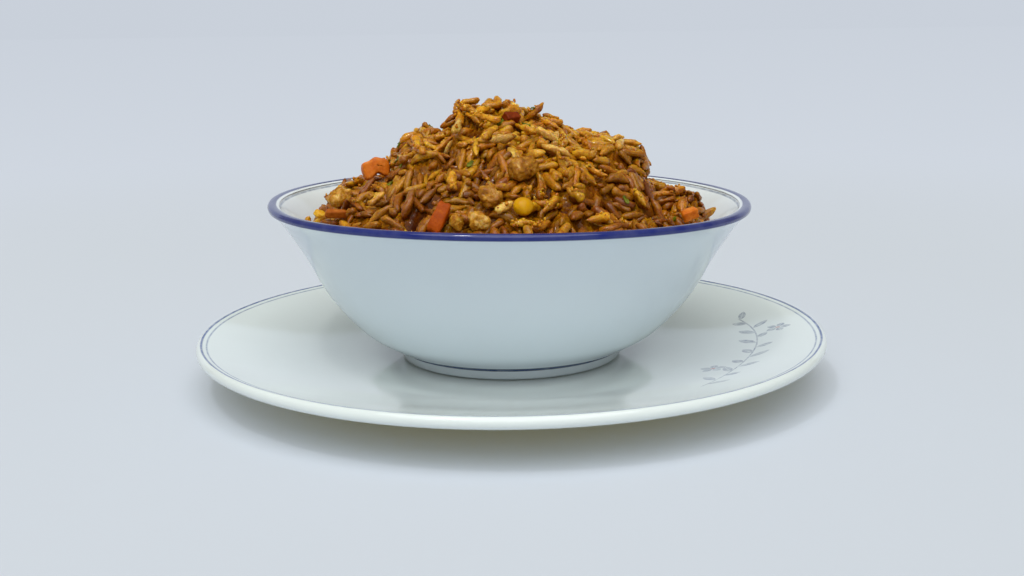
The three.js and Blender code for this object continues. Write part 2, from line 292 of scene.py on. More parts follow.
def mark_foot_line(nt, pos, r, z):
    m = math_(nt, "MULTIPLY", band(nt, z, 0.0117, 0.0136, 0.0002), math_(nt, "LESS_THAN", r, 0.0475))
    return brushed(nt, pos, m, 0.8, 1.0), srgb(36, 58, 100)


# A sprig along the right of the plate: a wavy stem, leaves on both sides in turn, two blossoms.
SPRIG_R, SPRIG_FROM, SPRIG_TO = 92.0, -46.0, 16.0


def on_sprig(deg):
    """A point of the stem, in mm, and the stem's direction there; deg from +X."""
    a = math.radians(deg)
    r = SPRIG_R + 3.0 * math.sin(4.2 * a + 0.6)
    dr = 3.0 * 4.2 * math.cos(4.2 * a + 0.6)
    x, y = r * math.cos(a), r * math.sin(a)
    tx, ty = dr * math.cos(a) - y, dr * math.sin(a) + x
    return x, y, math.atan2(ty, tx)


def leaf(nt, x, y, cx, cy, turn, length, width):
    """An almond, 1 inside; centre and sizes in mm."""
    c_, s_ = math.cos(turn), math.sin(turn)
    dx, dy = math_(nt, "SUBTRACT", x, cx * MM), math_(nt, "SUBTRACT", y, cy * MM)
    u = math_(nt, "ADD", math_(nt, "MULTIPLY", dx, c_), math_(nt, "MULTIPLY", dy, s_))
    v = math_(nt, "SUBTRACT", math_(nt, "MULTIPLY", dy, c_), math_(nt, "MULTIPLY", dx, s_))
    u = math_(nt, "DIVIDE", u, length / 2 * MM)
    half = math_(nt, "MULTIPLY", math_(nt, "SUBTRACT", 1.0, math_(nt, "MULTIPLY", u, u)), width / 2 * MM)
    v = math_(nt, "ABSOLUTE", v)
    inside = math_(nt, "DIVIDE", math_(nt, "SUBTRACT", half, v), 0.00025, clamp=True)
    # a pale midrib
    rib = math_(nt, "DIVIDE", v, 0.0003, clamp=True)
    return math_(nt, "MULTIPLY", inside, math_(nt, "MULTIPLY_ADD", rib, 0.6, 0.4))


BLOSSOMS = [(-27.0, 9.0), (3.0, -8.5)]      # where on the stem, and how far beside it


def blossom_at(deg, out):
    x, y, t = on_sprig(deg)
    return x - out * math.sin(t), y + out * math.cos(t)


def mark_sprig(nt, pos, r, z):
    x, y, _ = node(nt, "ShaderNodeSeparateXYZ", {0: pos}).outputs
    up = math_(nt, "GREATER_THAN", z, 0.0075)
    az = math_(nt, "ARCTAN2", y, x)
    wave = math_(nt, "SINE", math_(nt, "MULTIPLY_ADD", az, 4.2, 0.6))
    off = math_(nt, "ABSOLUTE", math_(nt, "SUBTRACT", r, math_(nt, "MULTIPLY_ADD", wave, 0.003, SPRIG_R * MM)))
    stem = math_(nt, "SUBTRACT", 1.0, math_(nt, "DIVIDE", math_(nt, "SUBTRACT", off, 0.0002), 0.0002, clamp=True))
    total = math_(nt, "MULTIPLY", stem, band(nt, az, math.radians(SPRIG_FROM), math.radians(SPRIG_TO), 0.02))
    for k in range(15):
        deg = SPRIG_FROM + 2 + k * (SPRIG_TO - SPRIG_FROM - 3) / 14
        side = 1 if k % 2 else -1
        cx, cy, t = on_sprig(deg)
        length = 8.6 + 1.8 * math.sin(2.3 * k)
        turn = t + side * (0.72 + 0.15 * math.sin(1.7 * k))
        cx += length * 0.52 * math.cos(turn)
        cy += length * 0.52 * math.sin(turn)
        total = math_(nt, "MAXIMUM", total, leaf(nt, x, y, cx, cy, turn, length, 3.5 + 0.6 * math.sin(3.1 * k)))
    for i, (deg, out) in enumerate(BLOSSOMS):
        bx, by = blossom_at(deg, out)
        for k in range(5):
            turn = 2 * math.pi * k / 5 + i
            total = math_(nt, "MAXIMUM", total, leaf(nt, x, y, bx + 2.9 * math.cos(turn), by + 2.9 * math.sin(turn), turn, 4.4, 3.2))
    return brushed(nt, pos, math_(nt, "MULTIPLY", total, up), 0.30, 0.72, 420.0), srgb(94, 110, 142)


def mark_sprig_hearts(nt, pos, r, z):
    x, y, _ = node(nt, "ShaderNodeSeparateXYZ", {0: pos}).outputs
    total = 0.0
    for deg, out in BLOSSOMS:
        bx, by = blossom_at(deg, out)
        dx, dy = math_(nt, "SUBTRACT", x, bx * MM), math_(nt, "SUBTRACT", y, by * MM)
        d = math_(nt, "SQRT", math_(nt, "ADD", math_(nt, "MULTIPLY", dx, dx), math_(nt, "MULTIPLY", dy, dy)))
        total = math_(nt, "MAXIMUM", total, math_(nt, "DIVIDE", math_(nt, "SUBTRACT", 0.0010, d), 0.0002, clamp=True))
    up = math_(nt, "GREATER_THAN", z, 0.0075)
    return brushed(nt, pos, math_(nt, "MULTIPLY", total, up), 0.5, 0.8, 420.0), srgb(176, 84, 82)


def mark_inside_painted_light(nt, pos, r, z):
    """Painted light: the inside of the bowl, where it faces up, is made whiter."""
    up = node(nt, "ShaderNodeSeparateXYZ", {0: node(nt, "ShaderNodeNewGeometry").outputs["Normal"]}).outputs[2]
    m = math_(nt, "MULTIPLY", math_(nt, "GREATER_THAN", up, 0.05), math_(nt, "GREATER_THAN", z, 0.013))
    return m, srgb(242, 250, 253)


MAT_PLATE = porcelain("plate_glaze", srgb(232, 240, 239), [mark_plate_outer, mark_plate_inner, mark_sprig, mark_sprig_hearts])
MAT_BOWL = porcelain("bowl_glaze", srgb(212, 223, 232), [mark_inside_painted_light, mark_lip, mark_inner_line, mark_foot_line])


# ---------------------------------------------------------------- plate
def plate_top(r):
    t = np.clip((np.asarray(r, float) - PLATE_WELL_RADIUS) / (PLATE_CREST_RADIUS - PLATE_WELL_RADIUS), 0, 1)
    return PLATE_WELL_TOP + (PLATE_CREST - 0.3 - PLATE_WELL_TOP) * t**1.45


def plate_profile():
    foot_in = PLATE_FOOT_RADIUS - PLATE_FOOT_WIDTH
    under = [(30, PLATE_UNDER), (foot_in - 4.0, PLATE_UNDER), (foot_in - 1.0, PLATE_UNDER - 0.8), (foot_in, 0.5),
             (foot_in + 0.9, 0.0), (PLATE_FOOT_RADIUS - 0.9, 0.0), (PLATE_FOOT_RADIUS, 0.6),
             (PLATE_FOOT_RADIUS + 0.5, PLATE_UNDER), (PLATE_FOOT_RADIUS + 2.4, PLATE_UNDER + 1.0)]
    r0, z0 = PLATE_FOOT_RADIUS + 1.2, PLATE_UNDER + 0.9
    for t in np.linspace(0.15, 0.9, 8):
        under.append((r0 + t * (PLATE_RADIUS - 4.4 - r0),
                      z0 + (t * t * 0.55 + t * 0.45) * (PLATE_EDGE_UNDER - z0)))
    edge = [(PLATE_RADIUS - 3.0, PLATE_EDGE_UNDER - 0.1), (PLATE_RADIUS - 1.3, PLATE_EDGE_UNDER + 0.3),
            (PLATE_RADIUS - 0.2, PLATE_EDGE_UNDER + 1.3), (PLATE_RADIUS - 0.1, PLATE_EDGE_UNDER + 2.7),
            (PLATE_RADIUS - 0.7, PLATE_CREST - 0.7), (PLATE_CREST_RADIUS + 0.3, PLATE_CREST - 0.02)]
    top = [(r, float(plate_top(r))) for r in np.linspace(PLATE_CREST_RADIUS - 0.8, PLATE_WELL_RADIUS + 2, 26)]
    top += [(PLATE_WELL_RADIUS - 3, PLATE_WELL_TOP), (44, PLATE_WELL_TOP), (20, PLATE_WELL_TOP)]
    p = np.array(under + edge + top)
    p = soften(p, 1)
    p[:, 1] = np.maximum(p[:, 1], 0.0)
    return np.concatenate([[(0, PLATE_UNDER)], p, [(0, PLATE_WELL_TOP)]])


plate = lathe("plate_glazed", plate_profile(), 256, [MAT_PLATE])
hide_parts("plate")
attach(plate, "root")

# ---------------------------------------------------------------- bowl
BOWL_OUTSIDE = [(BOWL_FOOT_RADIUS + 4.4, 5.4), (BOWL_FOOT_RADIUS + 15.0, 12.0), (BOWL_FOOT_RADIUS + 26.4, 25.0),
                (BOWL_FOOT_RADIUS + 35.4, 41.0), (BOWL_LIP_RADIUS - 4.4, 53.2), (BOWL_LIP_RADIUS - 0.3, 57.2)]


def inside_wall(ts):
    at, d = catmull(BOWL_OUTSIDE, ts)
    s = np.minimum(1, (1 - ts) / 0.9)
    thick = (BOWL_WALL + 0.9 * s * s * (3 - 2 * s))[:, None]
    return at + np.stack([-d[:, 1], d[:, 0]], -1) * thick


INSIDE = np.concatenate([inside_wall(np.linspace(0.93, 0.2, 30)),
                         [(34, BOWL_BASE + 1.7), (20, BOWL_BASE + 0.5), (8, BOWL_BASE + 0.08)]])


def bowl_profile():
    foot_in = BOWL_FOOT_RADIUS - BOWL_FOOT_WIDTH
    foot = soften([(foot_in - 12, 2.9), (foot_in - 1.2, 2.8), (foot_in, 0.5), (foot_in + 0.8, 0.0),
                   (BOWL_FOOT_RADIUS - 0.8, 0.0), (BOWL_FOOT_RADIUS, 0.7),
                   (BOWL_FOOT_RADIUS + 0.7, BOWL_FOOT_HEIGHT)], 2)
    wall, _ = catmull(BOWL_OUTSIDE, np.linspace(0, 1, 60))
    lip = soften([wall[-1], (BOWL_LIP_RADIUS, BOWL_HEIGHT - 1.3), (BOWL_LIP_RADIUS - 0.5, BOWL_HEIGHT - 0.3),
                  (BOWL_LIP_RADIUS - 1.5, BOWL_HEIGHT), (BOWL_LIP_RADIUS - 2.9, BOWL_HEIGHT - 0.1),
                  (BOWL_LIP_RADIUS - 4.7, BOWL_HEIGHT - 0.9), INSIDE[0]], 2)
    p = np.concatenate([[(0, 3.0)], foot, wall, lip[1:], INSIDE[1:], [(0, BOWL_BASE)]])
    p[:, 1] += BOWL_FLOOR
    return p


def out_of_true(ob):
    """Fired a little crooked: the lip leans to the right and is warped at the front, the foot stands flat."""
    n = len(ob.data.vertices)
    co = np.empty(n * 3)
    ob.data.vertices.foreach_get("co", co)
    co = co.reshape(n, 3)
    t = np.clip((co[:, 2] - 0.014) / 0.05, 0, 1)
    w = t * t * (3 - 2 * t)
    x, y = co[:, 0], co[:, 1]
    front = np.clip(-y / 0.060, 0, 1)
    co[:, 2] += w * (-0.0132 * x + 0.002 * y - 0.0001)
    co[:, 2] += w * front * (0.00086 + 0.0005 * x - 0.22 * x * x)
    ob.data.vertices.foreach_set("co", co.ravel())
    ob.data.update()


bowl = lathe("bowl_glazed", bowl_profile(), 256, [MAT_BOWL])
out_of_true(bowl)
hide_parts("bowl")
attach(bowl, "root")

# ---------------------------------------------------------------- heap surface
_in = INSIDE[INSIDE[:, 0].argsort()]
IN_R = np.concatenate([[0], _in[:, 0], [BOWL_LIP_RADIUS]])
IN_Z = np.concatenate([[BOWL_BASE], _in[:, 1], [BOWL_HEIGHT]]) + BOWL_FLOOR


def bowl_z(r):
    return np.interp(r, IN_R, IN_Z)


def uneven(x, y, z, seed):
    return (np.sin(0.61 * x + 0.37 * y + seed) + np.sin(-0.43 * x + 0.71 * y + 0.29 * z + 2.1 * seed)
            + np.sin(0.83 * z + 0.31 * x - 0.27 * y + 3.7 * seed)) / 3


def heap_top(x, y):
    r = np.minimum(1.1, np.hypot(x, y) / HEAP_RADIUS)
    z = HEAP_EDGE + HEAP_RISE * (1 - r**HEAP_POWER)
    for bx, by, rise, sx, sy in SHOULDERS:
        z = z + rise * np.exp(-((x - bx) / sx) ** 2 - ((y - by) / sy) ** 2)
    return z + HEAP_LUMP * uneven(x, y, 0, 1.3) * (1 + 0.6 * np.sin(0.2 * x - 0.26 * y))


def rim_r(a):
    """a is measured as in the solids, from -Y towards +X."""
    return HEAP_RADIUS - 0.6 + 0.8 * np.sin(3 * a + 0.7) + 0.6 * np.sin(7 * a + 2.0)


# clumps and crevices of the heap, finer than the solid's outline
CL = rng.uniform(-76, 76, (150, 2))
CL_A = rng.uniform(-4.8, 3.8, 150)
CL_S = rng.uniform(4.0, 8.0, 150)
BANKS = [(-51, -19, 3.4, 5.0), (-43.5, -15, 2.6, 4.5), (-14, -1, 1.5, 5.0), (-48, -1, 2.4, 4.5), (62.5, -29, 3.6, 5.0),
         (1.5, -11, 2.4, 5.0), (69.5, -9, 3.0, 5.0), (-74, -14, 2.6, 3.5)]
PITS = [(-8, -44.5, 6.5, 4.5), (-7.4, -38.5, 4.5, 4.5), (30.5, -48.4, 6.0, 5.5), (36, -46, 4.5, 4.5),
        (-32.8, -57, 5.5, 4.0), (-26.4, -50, 4.0, 4.0), (55.2, -33.6, 3.0, 4.0), (44, -20, 3.4, 4.0), (-20, -30, 4.4, 4.5), (-68, -8, 4.0, 3.0)]


OUTLINE_X = [-75, -73, -70, -67, -63, -61, -58, -55, -53, -48, -46, -43, -40, -38, -33, -30, -27, -24, -22, -20, -14, -11, -9, -6, -2, 0, 3, 6, 8, 12, 15, 18, 21, 24, 28, 33, 45, 47.5, 49, 51, 54, 57, 60, 64, 66]
OUTLINE_DZ = [1, -1, -7, -1, -0.6, 3, 0, -0.8, -2.6, -2, -5.2, -7.4, -5, 0.6, 2.6, 2, -1.4, -7.4, -4.6, 3.2, 2.8, -0.6, 0, 0, -1, 2.4, -0.4, -2.2, 1.6, 1.8, 1.8, 0.8, 0, -0.6, 0, 0.8, 0.6, 2.6, -1, -9, -7, -2, -1, -2.4, 0]


def clumps(x, y):
    z = np.zeros_like(x)
    for (cx, cy), a, s in zip(CL, CL_A, CL_S):
        z = z + a * np.exp(-((x - cx) ** 2 + (y - cy) ** 2) / s**2)
    for px, py, a, s in PITS:
        z = z - a * np.exp(-((x - px) ** 2 + (y - py) ** 2) / s**2)
    for px, py, a, s in BANKS:
        z = z + a * np.exp(-((x - px) ** 2 + (y - py) ** 2) / s**2)
    # steps of the outline, along x over the middle of the heap
    return z + np.interp(x, OUTLINE_X, OUTLINE_DZ) * np.exp(-((y / 30.0) ** 2))


# The ground the grains rest on, as a table: the core of the heap and, past its rim, the bowl.
CORE_DEPTH = 5.4
STEP = 0.75
gx = np.arange(-90, 90 + STEP, STEP)
GX, GY = np.meshgrid(gx, gx, indexing="ij")
GR = np.hypot(GX, GY)
GA = np.arctan2(GX, -GY)
RIM = rim_r(GA) - 4.2
core_tab = heap_top(GX, GY) + clumps(GX, GY) - CORE_DEPTH
over = np.maximum(0, GR - RIM)
core_tab = core_tab - 2.2 * over
bowl_tab = bowl_z(GR)
GROUND = np.maximum(core_tab, bowl_tab)
dGx, dGy = np.gradient(GROUND, STEP)


def table(tab, x, y):
    u = np.clip((x + 90) / STEP, 0, len(gx) - 1.001)
    v = np.clip((y + 90) / STEP, 0, len(gx) - 1.001)
    i, j = u.astype(int), v.astype(int)
    a, b = u - i, v - j
    return (tab[i, j] * (1 - a) * (1 - b) + tab[i + 1, j] * a * (1 - b)
            + tab[i, j + 1] * (1 - a) * b + tab[i + 1, j + 1] * a * b)


def ground(x, y):
    z = table(GROUND, x, y)
    n = np.stack([-table(dGx, x, y), -table(dGy, x, y), np.ones_like(z)], -1)
    return z, n / np.linalg.norm(n, axis=1)[:, None]


# ---------------------------------------------------------------- toppings, where they lie
def lift_at(x, y, lift):
    return (x, y, float(heap_top(np.array(x, float), np.array(y, float))) + lift)


# blocks that the grains lie round: centre and radius
FIXED = []


def block(c, r):
    FIXED.append((*c, r))


block(lift_at(-48.0, -9.2, 1.4), 3.9)
for k in (-1.15, -0.4, 0.4, 1.15):
    block((-22.9 + k * 1.3, -62.5 + k * 1.0, lift_at(-22.9, -62.5, 0.9)[2] + k * 2.9), 2.0)
block(lift_at(62.7, -34.1, 0.4), 1.9)
block(lift_at(-61.7, -34.5, 0.5), 1.7)
block(lift_at(-58.9, -33.5, 0.5), 1.7)
block(lift_at(1.2, -14.6, 0.4), 1.7)
block(lift_at(4.6, -62.7, 1.8), 3.5)
block(lift_at(-68.2, -26.2, 0.4), 1.9)
block(lift_at(-65.8, -25.4, 0.4), 1.9)
block(lift_at(-59.4, -22.6, 0.9), 3.7)
block(lift_at(4.6, -44.4, -0.8), 4.7)
block(lift_at(-8.0, -57.2, -1.4), 3.7)
block(lift_at(-3.6, -56.0, -1.6), 3.7)
block(lift_at(-9.8, -64.8, -0.4), 3.0)
block(lift_at(-17.4, -63.6, 0.2), 2.2)
# hollows between the clumps, kept free of grains: x, y, lift, radius
HOLLOWS = [(-8, -44.5, 0.5, 4.2), (-7.4, -37.5, 0.8, 3.6), (30.5, -48.4, 0.5, 4.6), (36.5, -45, 0.8, 3.6), (-32.8, -57, 0.5, 4.0),
           (-26.4, -50, 0.8, 3.2), (-20, -30, 1.0, 3.4), (44, -20, 1.0, 3.0), (-1, -31, 1.2, 3.0), (19, -55.5, 0.6, 2.8),
           (-44.5, -40, 0.8, 3.2), (14, -26, 1.2, 2.8), (52, -40, 0.6, 3.2), (-12, -20, 1.4, 2.8)]


def well(hx, hy):
    """Where a hollow opens, and its direction out of the heap."""
    e = 1.0
    p_ = np.array([[hx, hy], [hx + e, hy], [hx, hy + e]])
    z_ = heap_top(p_[:, 0], p_[:, 1])
    d_ = np.array([-(z_[1] - z_[0]), -(z_[2] - z_[0]), e])
    return np.array([hx, hy, z_[0]]), d_ / np.linalg.norm(d_)


for hx, hy, up_, hr in HOLLOWS:
    w_at, w_dir = well(hx, hy)
    for k in (-1.0, 2.0, 5.0):
        block(w_at + w_dir * (up_ + k), hr)
FIXED = np.array(FIXED)

# ---------------------------------------------------------------- grains of rice
# height over the ground, number, tilt out of the surface
LAYERS = [(1.2, 280, 0.30), (3.6, 500, 0.60), (5.8, 430, 1.00)]
CRUMBS = [(1.4, 500), (3.4, 480), (5.2, 260)]

# grains that stand out of the outline, given one by one: middle, direction, length, thickness
ODD = [((-18.2, -1, 98.2), (-0.25, 0.1, 0.95), 8.6, 3.1), ((-15.2, 0, 101.4), (0.9, 0.2, 0.25), 7.0, 4.6),
       ((-10.4, -2, 99.6), (0.9, -0.2, -0.15), 7.0, 3.6), ((-6.0, -1, 101.9), (1, 0.1, 0.02), 8.2, 3.4),
       ((9.4, -3, 99.2), (0.78, 0.1, 0.62), 10.2, 2.9), ((44.2, -2, 87.4), (1, 0.05, -0.03), 10.2, 3.8),
       ((36.2, -2, 89.0), (0.95, 0.0, -0.22), 9.4, 3.4), ((47.6, -4, 82.4), (0.9, 0.1, -0.5), 8.0, 4.0),
       ((-36.0, -3, 89.6), (0.9, 0.1, 0.42), 8.4, 3.5), ((-28.0, -2, 91.6), (1, 0.2, 0.05), 8.0, 3.8),
       ((-38.4, -4, 84.2), (1, -0.1, 0.05), 9.6, 3.2), ((-38.8, -4, 87.6), (0.8, 0.0, 0.5), 6.0, 2.8),
       ((-74.0, -14, 63.2), (0.35, 0.1, 0.9), 5.8, 2.6), ((-71.0, -16, 64.4), (-0.2, 0.05, 0.95), 6.8, 3.0),
       ((72.2, -8, 66.2), (0.78, 0.1, 0.52), 9.0, 3.3), ((61.6, -5, 70.2), (0.95, 0.1, 0.2), 7.4, 3.8),
       ((58.6, -6, 70.4), (0.6, -0.4, 0.4), 6.0, 3.6), ((16.6, -4, 95.8), (1, 0.1, -0.3), 7.2, 3.6),
       ((2.4, -4, 99.4), (0.9, 0.1, -0.3), 7.4, 3.6)]
# pale and long grains that lie on the front: place and height over the ground, direction, length, thickness, tone
LAID = [((-18.2, -21.6, 6.2), (-0.20, -0.89, -0.42), 9.6, 3.3, 0.88), ((-7.6, -17.4, 6.0), (0.81, -0.55, -0.21), 10.4, 3.0, 0.74),
        ((-1.6, -32.5, 6.2), (0.95, 0.27, 0.15), 9.4, 3.4, 0.92), ((-6.4, -25.3, 5.8), (0.52, 0.76, 0.39), 10.0, 2.8, 0.68),
        ((-1.7, -61.7, 6.0), (0.76, 0.51, 0.41), 7.6, 3.2, 0.92), ((4.1, -66.4, 6.0), (0.99, 0.10, 0.03), 8.5, 3.0, 0.74),
        ((-11.3, -31.5, 6.0), (0.06, -0.91, -0.42), 10.4, 3.0, 0.64), ((-18.4, -47.4, 6.0), (0.11, -0.86, -0.50), 10.4, 2.8, 0.70),
        ((16.3, -35.1, 6.2), (0.91, -0.24, -0.33), 10.4, 3.2, 0.86), ((6.8, -25.8, 6.0), (0.81, -0.51, -0.29), 7.9, 3.0, 0.70),
        ((-31.4, -26.3, 6.0), (0.51, -0.85, -0.12), 9.8, 3.2, 0.58), ((-45.9, -36.8, 6.0), (0.73, 0.37, 0.57), 7.0, 3.0, 0.80),
        ((13.7, -58.1, 5.8), (0.56, 0.72, 0.42), 9.7, 2.8, 0.55), ((29.1, -59.1, 6.0), (0.88, 0.47, 0.03), 9.2, 3.0, 0.60),
        ((21.9, -52.1, 6.0), (0.81, -0.36, -0.46), 7.6, 3.0, 0.72), ((44.8, -38.9, 6.0), (0.45, -0.66, -0.60), 8.1, 2.9, 0.68),
        ((29.9, -36.9, 6.0), (0.88, -0.19, -0.44), 8.9, 3.0, 0.62),
        # over the front of the crown
        ((-15.5, -10.5, 5.2), (0.90, -0.35, -0.25), 9.2, 3.2, 0.62), ((-12.5, -13.5, 5.0), (0.55, -0.70, -0.45), 9.0, 3.0, 0.55),
        ((-18.5, -12.5, 4.6), (0.25, -0.80, -0.55), 9.0, 3.1, 0.66), ((-14.5, -7.5, 5.6), (0.97, 0.05, 0.15), 8.6, 3.0, 0.50),
        ((-9.5, -9.5, 5.6), (0.75, 0.55, 0.25), 9.0, 3.2, 0.70),
        # over thin places at the back
        ((-6.5, 73.0, 4.2), (0.95, 0.10, 0.05), 9.2, 3.0, 0.50), ((-14.0, 72.0, 4.4), (0.70, -0.30, 0.30), 9.0, 3.0, 0.58),
        ((-21.0, 70.0, 4.4), (0.85, 0.35, -0.25), 9.4, 3.1, 0.52), ((-10.5, 69.0, 5.0), (0.45, -0.60, 0.60), 8.8, 3.0, 0.62),
        ((-17.5, 67.5, 5.0), (0.95, 0.10, 0.00), 9.0, 2.9, 0.55), ((-19.8, 50.0, 5.0), (0.60, -0.55, 0.45), 9.0, 3.0, 0.60),
        ((-10.0, 61.0, 5.0), (0.80, 0.40, -0.35), 9.4, 3.0, 0.58)]
RIM_LIMIT = 0.9       # how far grains reach past the rim of the solid
STICK = 0.78          # sticky grains sink into each other by the rest


def scatter(count, keep_out, seed):
    """Points on the ground, spread by area, at random."""
    g = np.random.default_rng(seed)
    got = np.empty((0, 2))
    while len(got) < count:
        p = g.uniform(-80, 80, (count * 4, 2))
        r = np.hypot(p[:, 0], p[:, 1])
        a = np.arctan2(p[:, 0], -p[:, 1])
        slope = np.sqrt(1 + table(dGx, p[:, 0], p[:, 1]) ** 2 + table(dGy, p[:, 0], p[:, 1]) ** 2)
        ok = (r < rim_r(a) - keep_out) & (g.uniform(0, 1.0, len(p)) < slope / 2.6)
        got = np.concatenate([got, p[ok]])
    return got[:count]


def make_grains():
    g = np.random.default_rng(31)
    cs, ax, ln, wd, kd = [], [], [], [], []
    for li, (dist, count, tilt) in enumerate(LAYERS):
        p = scatter(count, 1.0 + 0.5 * li, 100 + li)
        z, n = ground(p[:, 0], p[:, 1])
        c = np.column_stack([p, z]) + n * dist
        t = g.normal(size=(count, 3))
        t -= (t * n).sum(1)[:, None] * n
        t /= np.linalg.norm(t, axis=1)[:, None]
        t += n * g.normal(0, tilt, count)[:, None]
        t /= np.linalg.norm(t, axis=1)[:, None]
        length = g.normal(9.4, 1.3, count)
        broken = g.uniform(size=count) < 0.2
        length = np.where(broken, g.uniform(4.0, 6.6, count), length)
        cs.append(c)
        ax.append(t)
        ln.append(np.clip(length, 4.0, 11.6))
        wd.append(np.clip(g.normal(3.0, 0.48, count), 2.0, 4.0))
        kd.append(np.zeros(count, int))
    for li, (dist, count) in enumerate(CRUMBS):
        p = scatter(count, 1.0, 200 + li)
        z, n = ground(p[:, 0], p[:, 1])
        t = g.normal(size=(count, 3))
        t /= np.linalg.norm(t, axis=1)[:, None]
        length = g.uniform(1.2, 3.4, count)
        big = g.uniform(size=count) < 0.08
        length = np.where(big, g.uniform(3.6, 6.8, count), length)
        cs.append(np.column_stack([p, z]) + n * dist)
        ax.append(t)
        ln.append(length)
        wd.append(np.clip(length * g.uniform(0.46, 0.80, count), 1.0, 3.9))
        kd.append(np.ones(count, int))
    oc = np.array([o[0] for o in ODD], float)
    oz, _ = ground(oc[:, 0], oc[:, 1])
    oc[:, 2] = np.minimum(oc[:, 2], oz + 7.4)
    hand = ODD + LAID
    lc = np.array([o[0] for o in LAID], float)
    lz, _ = ground(lc[:, 0], lc[:, 1])
    lc[:, 2] += lz
    oc = np.concatenate([oc, lc])
    oa = np.array([o[1] for o in hand], float)
    oa /= np.linalg.norm(oa, axis=1)[:, None]
    cs.append(oc)
    ax.append(oa)
    ln.append(np.array([o[2] for o in hand]))
    wd.append(np.array([o[3] for o in hand]))
    kd.append(np.zeros(len(hand), int))
    c, a, L, W, kd = map(np.concatenate, (cs, ax, ln, wd, kd))
    N = len(c)
    pinned = np.zeros(N, bool)
    pinned[-len(hand):] = True
    K = 4
    tk = np.linspace(-1, 1, K)
    rad = np.repeat(W / 2 * 0.96, K)
    half = np.maximum(0, L / 2 - W / 2 * 0.9)
    gid = np.repeat(np.arange(N), K)
    allrad = np.concatenate([rad, FIXED[:, 3]])
    M = N * K

    def spheres():
        return (c[:, None] + a[:, None] * (tk[None, :, None] * half[:, None, None])).reshape(-1, 3)

    def pairs(s, reach):
        cell = 4.4
        lo = s.min(0) - 1
        k = ((s - lo) / cell).astype(np.int64)
        dim = k.max(0) + 3
        key = (k[:, 0] * dim[1] + k[:, 1]) * dim[2] + k[:, 2]
        order = np.argsort(key, kind="stable")
        ks = key[order]
        out_i, out_j = [], []
        for dx in (-1, 0, 1):
            for dy in (-1, 0, 1):
                for dz in (-1, 0, 1):
                    nk = key + (dx * dim[1] + dy) * dim[2] + dz
                    st = np.searchsorted(ks, nk, "left")
                    en = np.searchsorted(ks, nk, "right")
                    for m in range(int((en - st).max()) if len(st) else 0):
                        ok = st + m < en
                        i = np.nonzero(ok)[0]
                        j = order[st[ok] + m]
                        keep = (i < j) & (gid[i] != gid[j])
                        i, j = i[keep], j[keep]
                        d = s[i] - s[j]
                        near = (d * d).sum(1) < (rad[i] + rad[j] + reach) ** 2
                        out_i.append(i[near])
                        out_j.append(j[near])
        return np.concatenate(out_i), np.concatenate(out_j)

    steps = 110
    for it in range(steps):
        s = spheres()
        if it % 5 == 0:
            I, J = pairs(s, 0.9)
            fi, fj = [], []
            for b in range(len(FIXED)):
                d = s - FIXED[b, :3]
                near = np.nonzero((d * d).sum(1) < (allrad[:M] + FIXED[b, 3] + 2.0) ** 2)[0]
                fi.append(near)
                fj.append(np.full(len(near), b))
            FI, FJ = np.concatenate(fi), np.concatenate(fj)
        move = np.zeros((M, 3))
        cnt = np.zeros(M)
        d = s[I] - s[J]
        dist = np.sqrt((d * d).sum(1)) + 1e-9
        gap = (rad[I] + rad[J]) * STICK - dist
        hit = gap > 0
        Ih, Jh, push = I[hit], J[hit], (d[hit] / dist[hit][:, None]) * (gap[hit] * 0.5)[:, None]
        for k in range(3):
            move[:, k] += np.bincount(Ih, push[:, k], M) - np.bincount(Jh, push[:, k], M)
        cnt += np.bincount(Ih, minlength=M) + np.bincount(Jh, minlength=M)
        d = s[FI] - FIXED[FJ, :3]
        dist = np.sqrt((d * d).sum(1)) + 1e-9
        gap = rad[FI] + FIXED[FJ, 3] - dist
        hit = gap > 0
        push = (d[hit] / dist[hit][:, None]) * gap[hit][:, None]
        for k in range(3):
            move[:, k] += np.bincount(FI[hit], push[:, k], M)
        cnt += np.bincount(FI[hit], minlength=M)
        move /= np.maximum(1, cnt * 0.6)[:, None]
        # towards the heap, less and less
        z, n = ground(s[:, 0], s[:, 1])
        pull = 0.15 * (1 - it / steps) + 0.02
        move -= n * pull
        s = s + move
        # not past the rim of the heap, and not into the ground
        r = np.hypot(s[:, 0], s[:, 1])
        limit = rim_r(np.arctan2(s[:, 0], -s[:, 1])) + RIM_LIMIT - rad
        s[:, :2] *= np.minimum(1, limit / np.maximum(r, 1))[:, None]
        z, n = ground(s[:, 0], s[:, 1])
        deep = (s[:, 2] - z) * n[:, 2] - rad
        s = s - n * np.minimum(0, deep)[:, None]
        q = s.reshape(N, K, 3)
        free = ~pinned
        c_new = q.mean(1)
        a_new = (q * tk[None, :, None]).sum(1)
        size = np.linalg.norm(a_new, axis=1)
        a_new = np.where((size > 1e-3)[:, None], a_new / np.maximum(size, 1e-3)[:, None], a)
        c[free], a[free] = c_new[free], a_new[free]
    keep = np.ones(N, bool)
    for hx, hy, _, hr in HOLLOWS:
        w_at, w_dir = well(hx, hy)
        q = c - w_at
        along = q @ w_dir
        beside = np.linalg.norm(q - along[:, None] * w_dir, axis=1)
        keep &= ~((beside < hr * 0.8) & (along > -3.0)) | pinned
    s = spheres()
    I, J = pairs(s, 0.0)
    d = np.sqrt(((s[I] - s[J]) ** 2).sum(1))
    print("pieces", N, "pairs", len(I), "mean overlap mm", float(np.maximum(0, rad[I] + rad[J] - d).mean()))
    return c[keep], a[keep], L[keep], W[keep], kd[keep]


def frame_of(a, g):
    u = g.normal(size=a.shape)
    u -= (u * a).sum(1)[:, None] * a
    u /= np.linalg.norm(u, axis=1)[:, None]
    return u, np.cross(a, u)


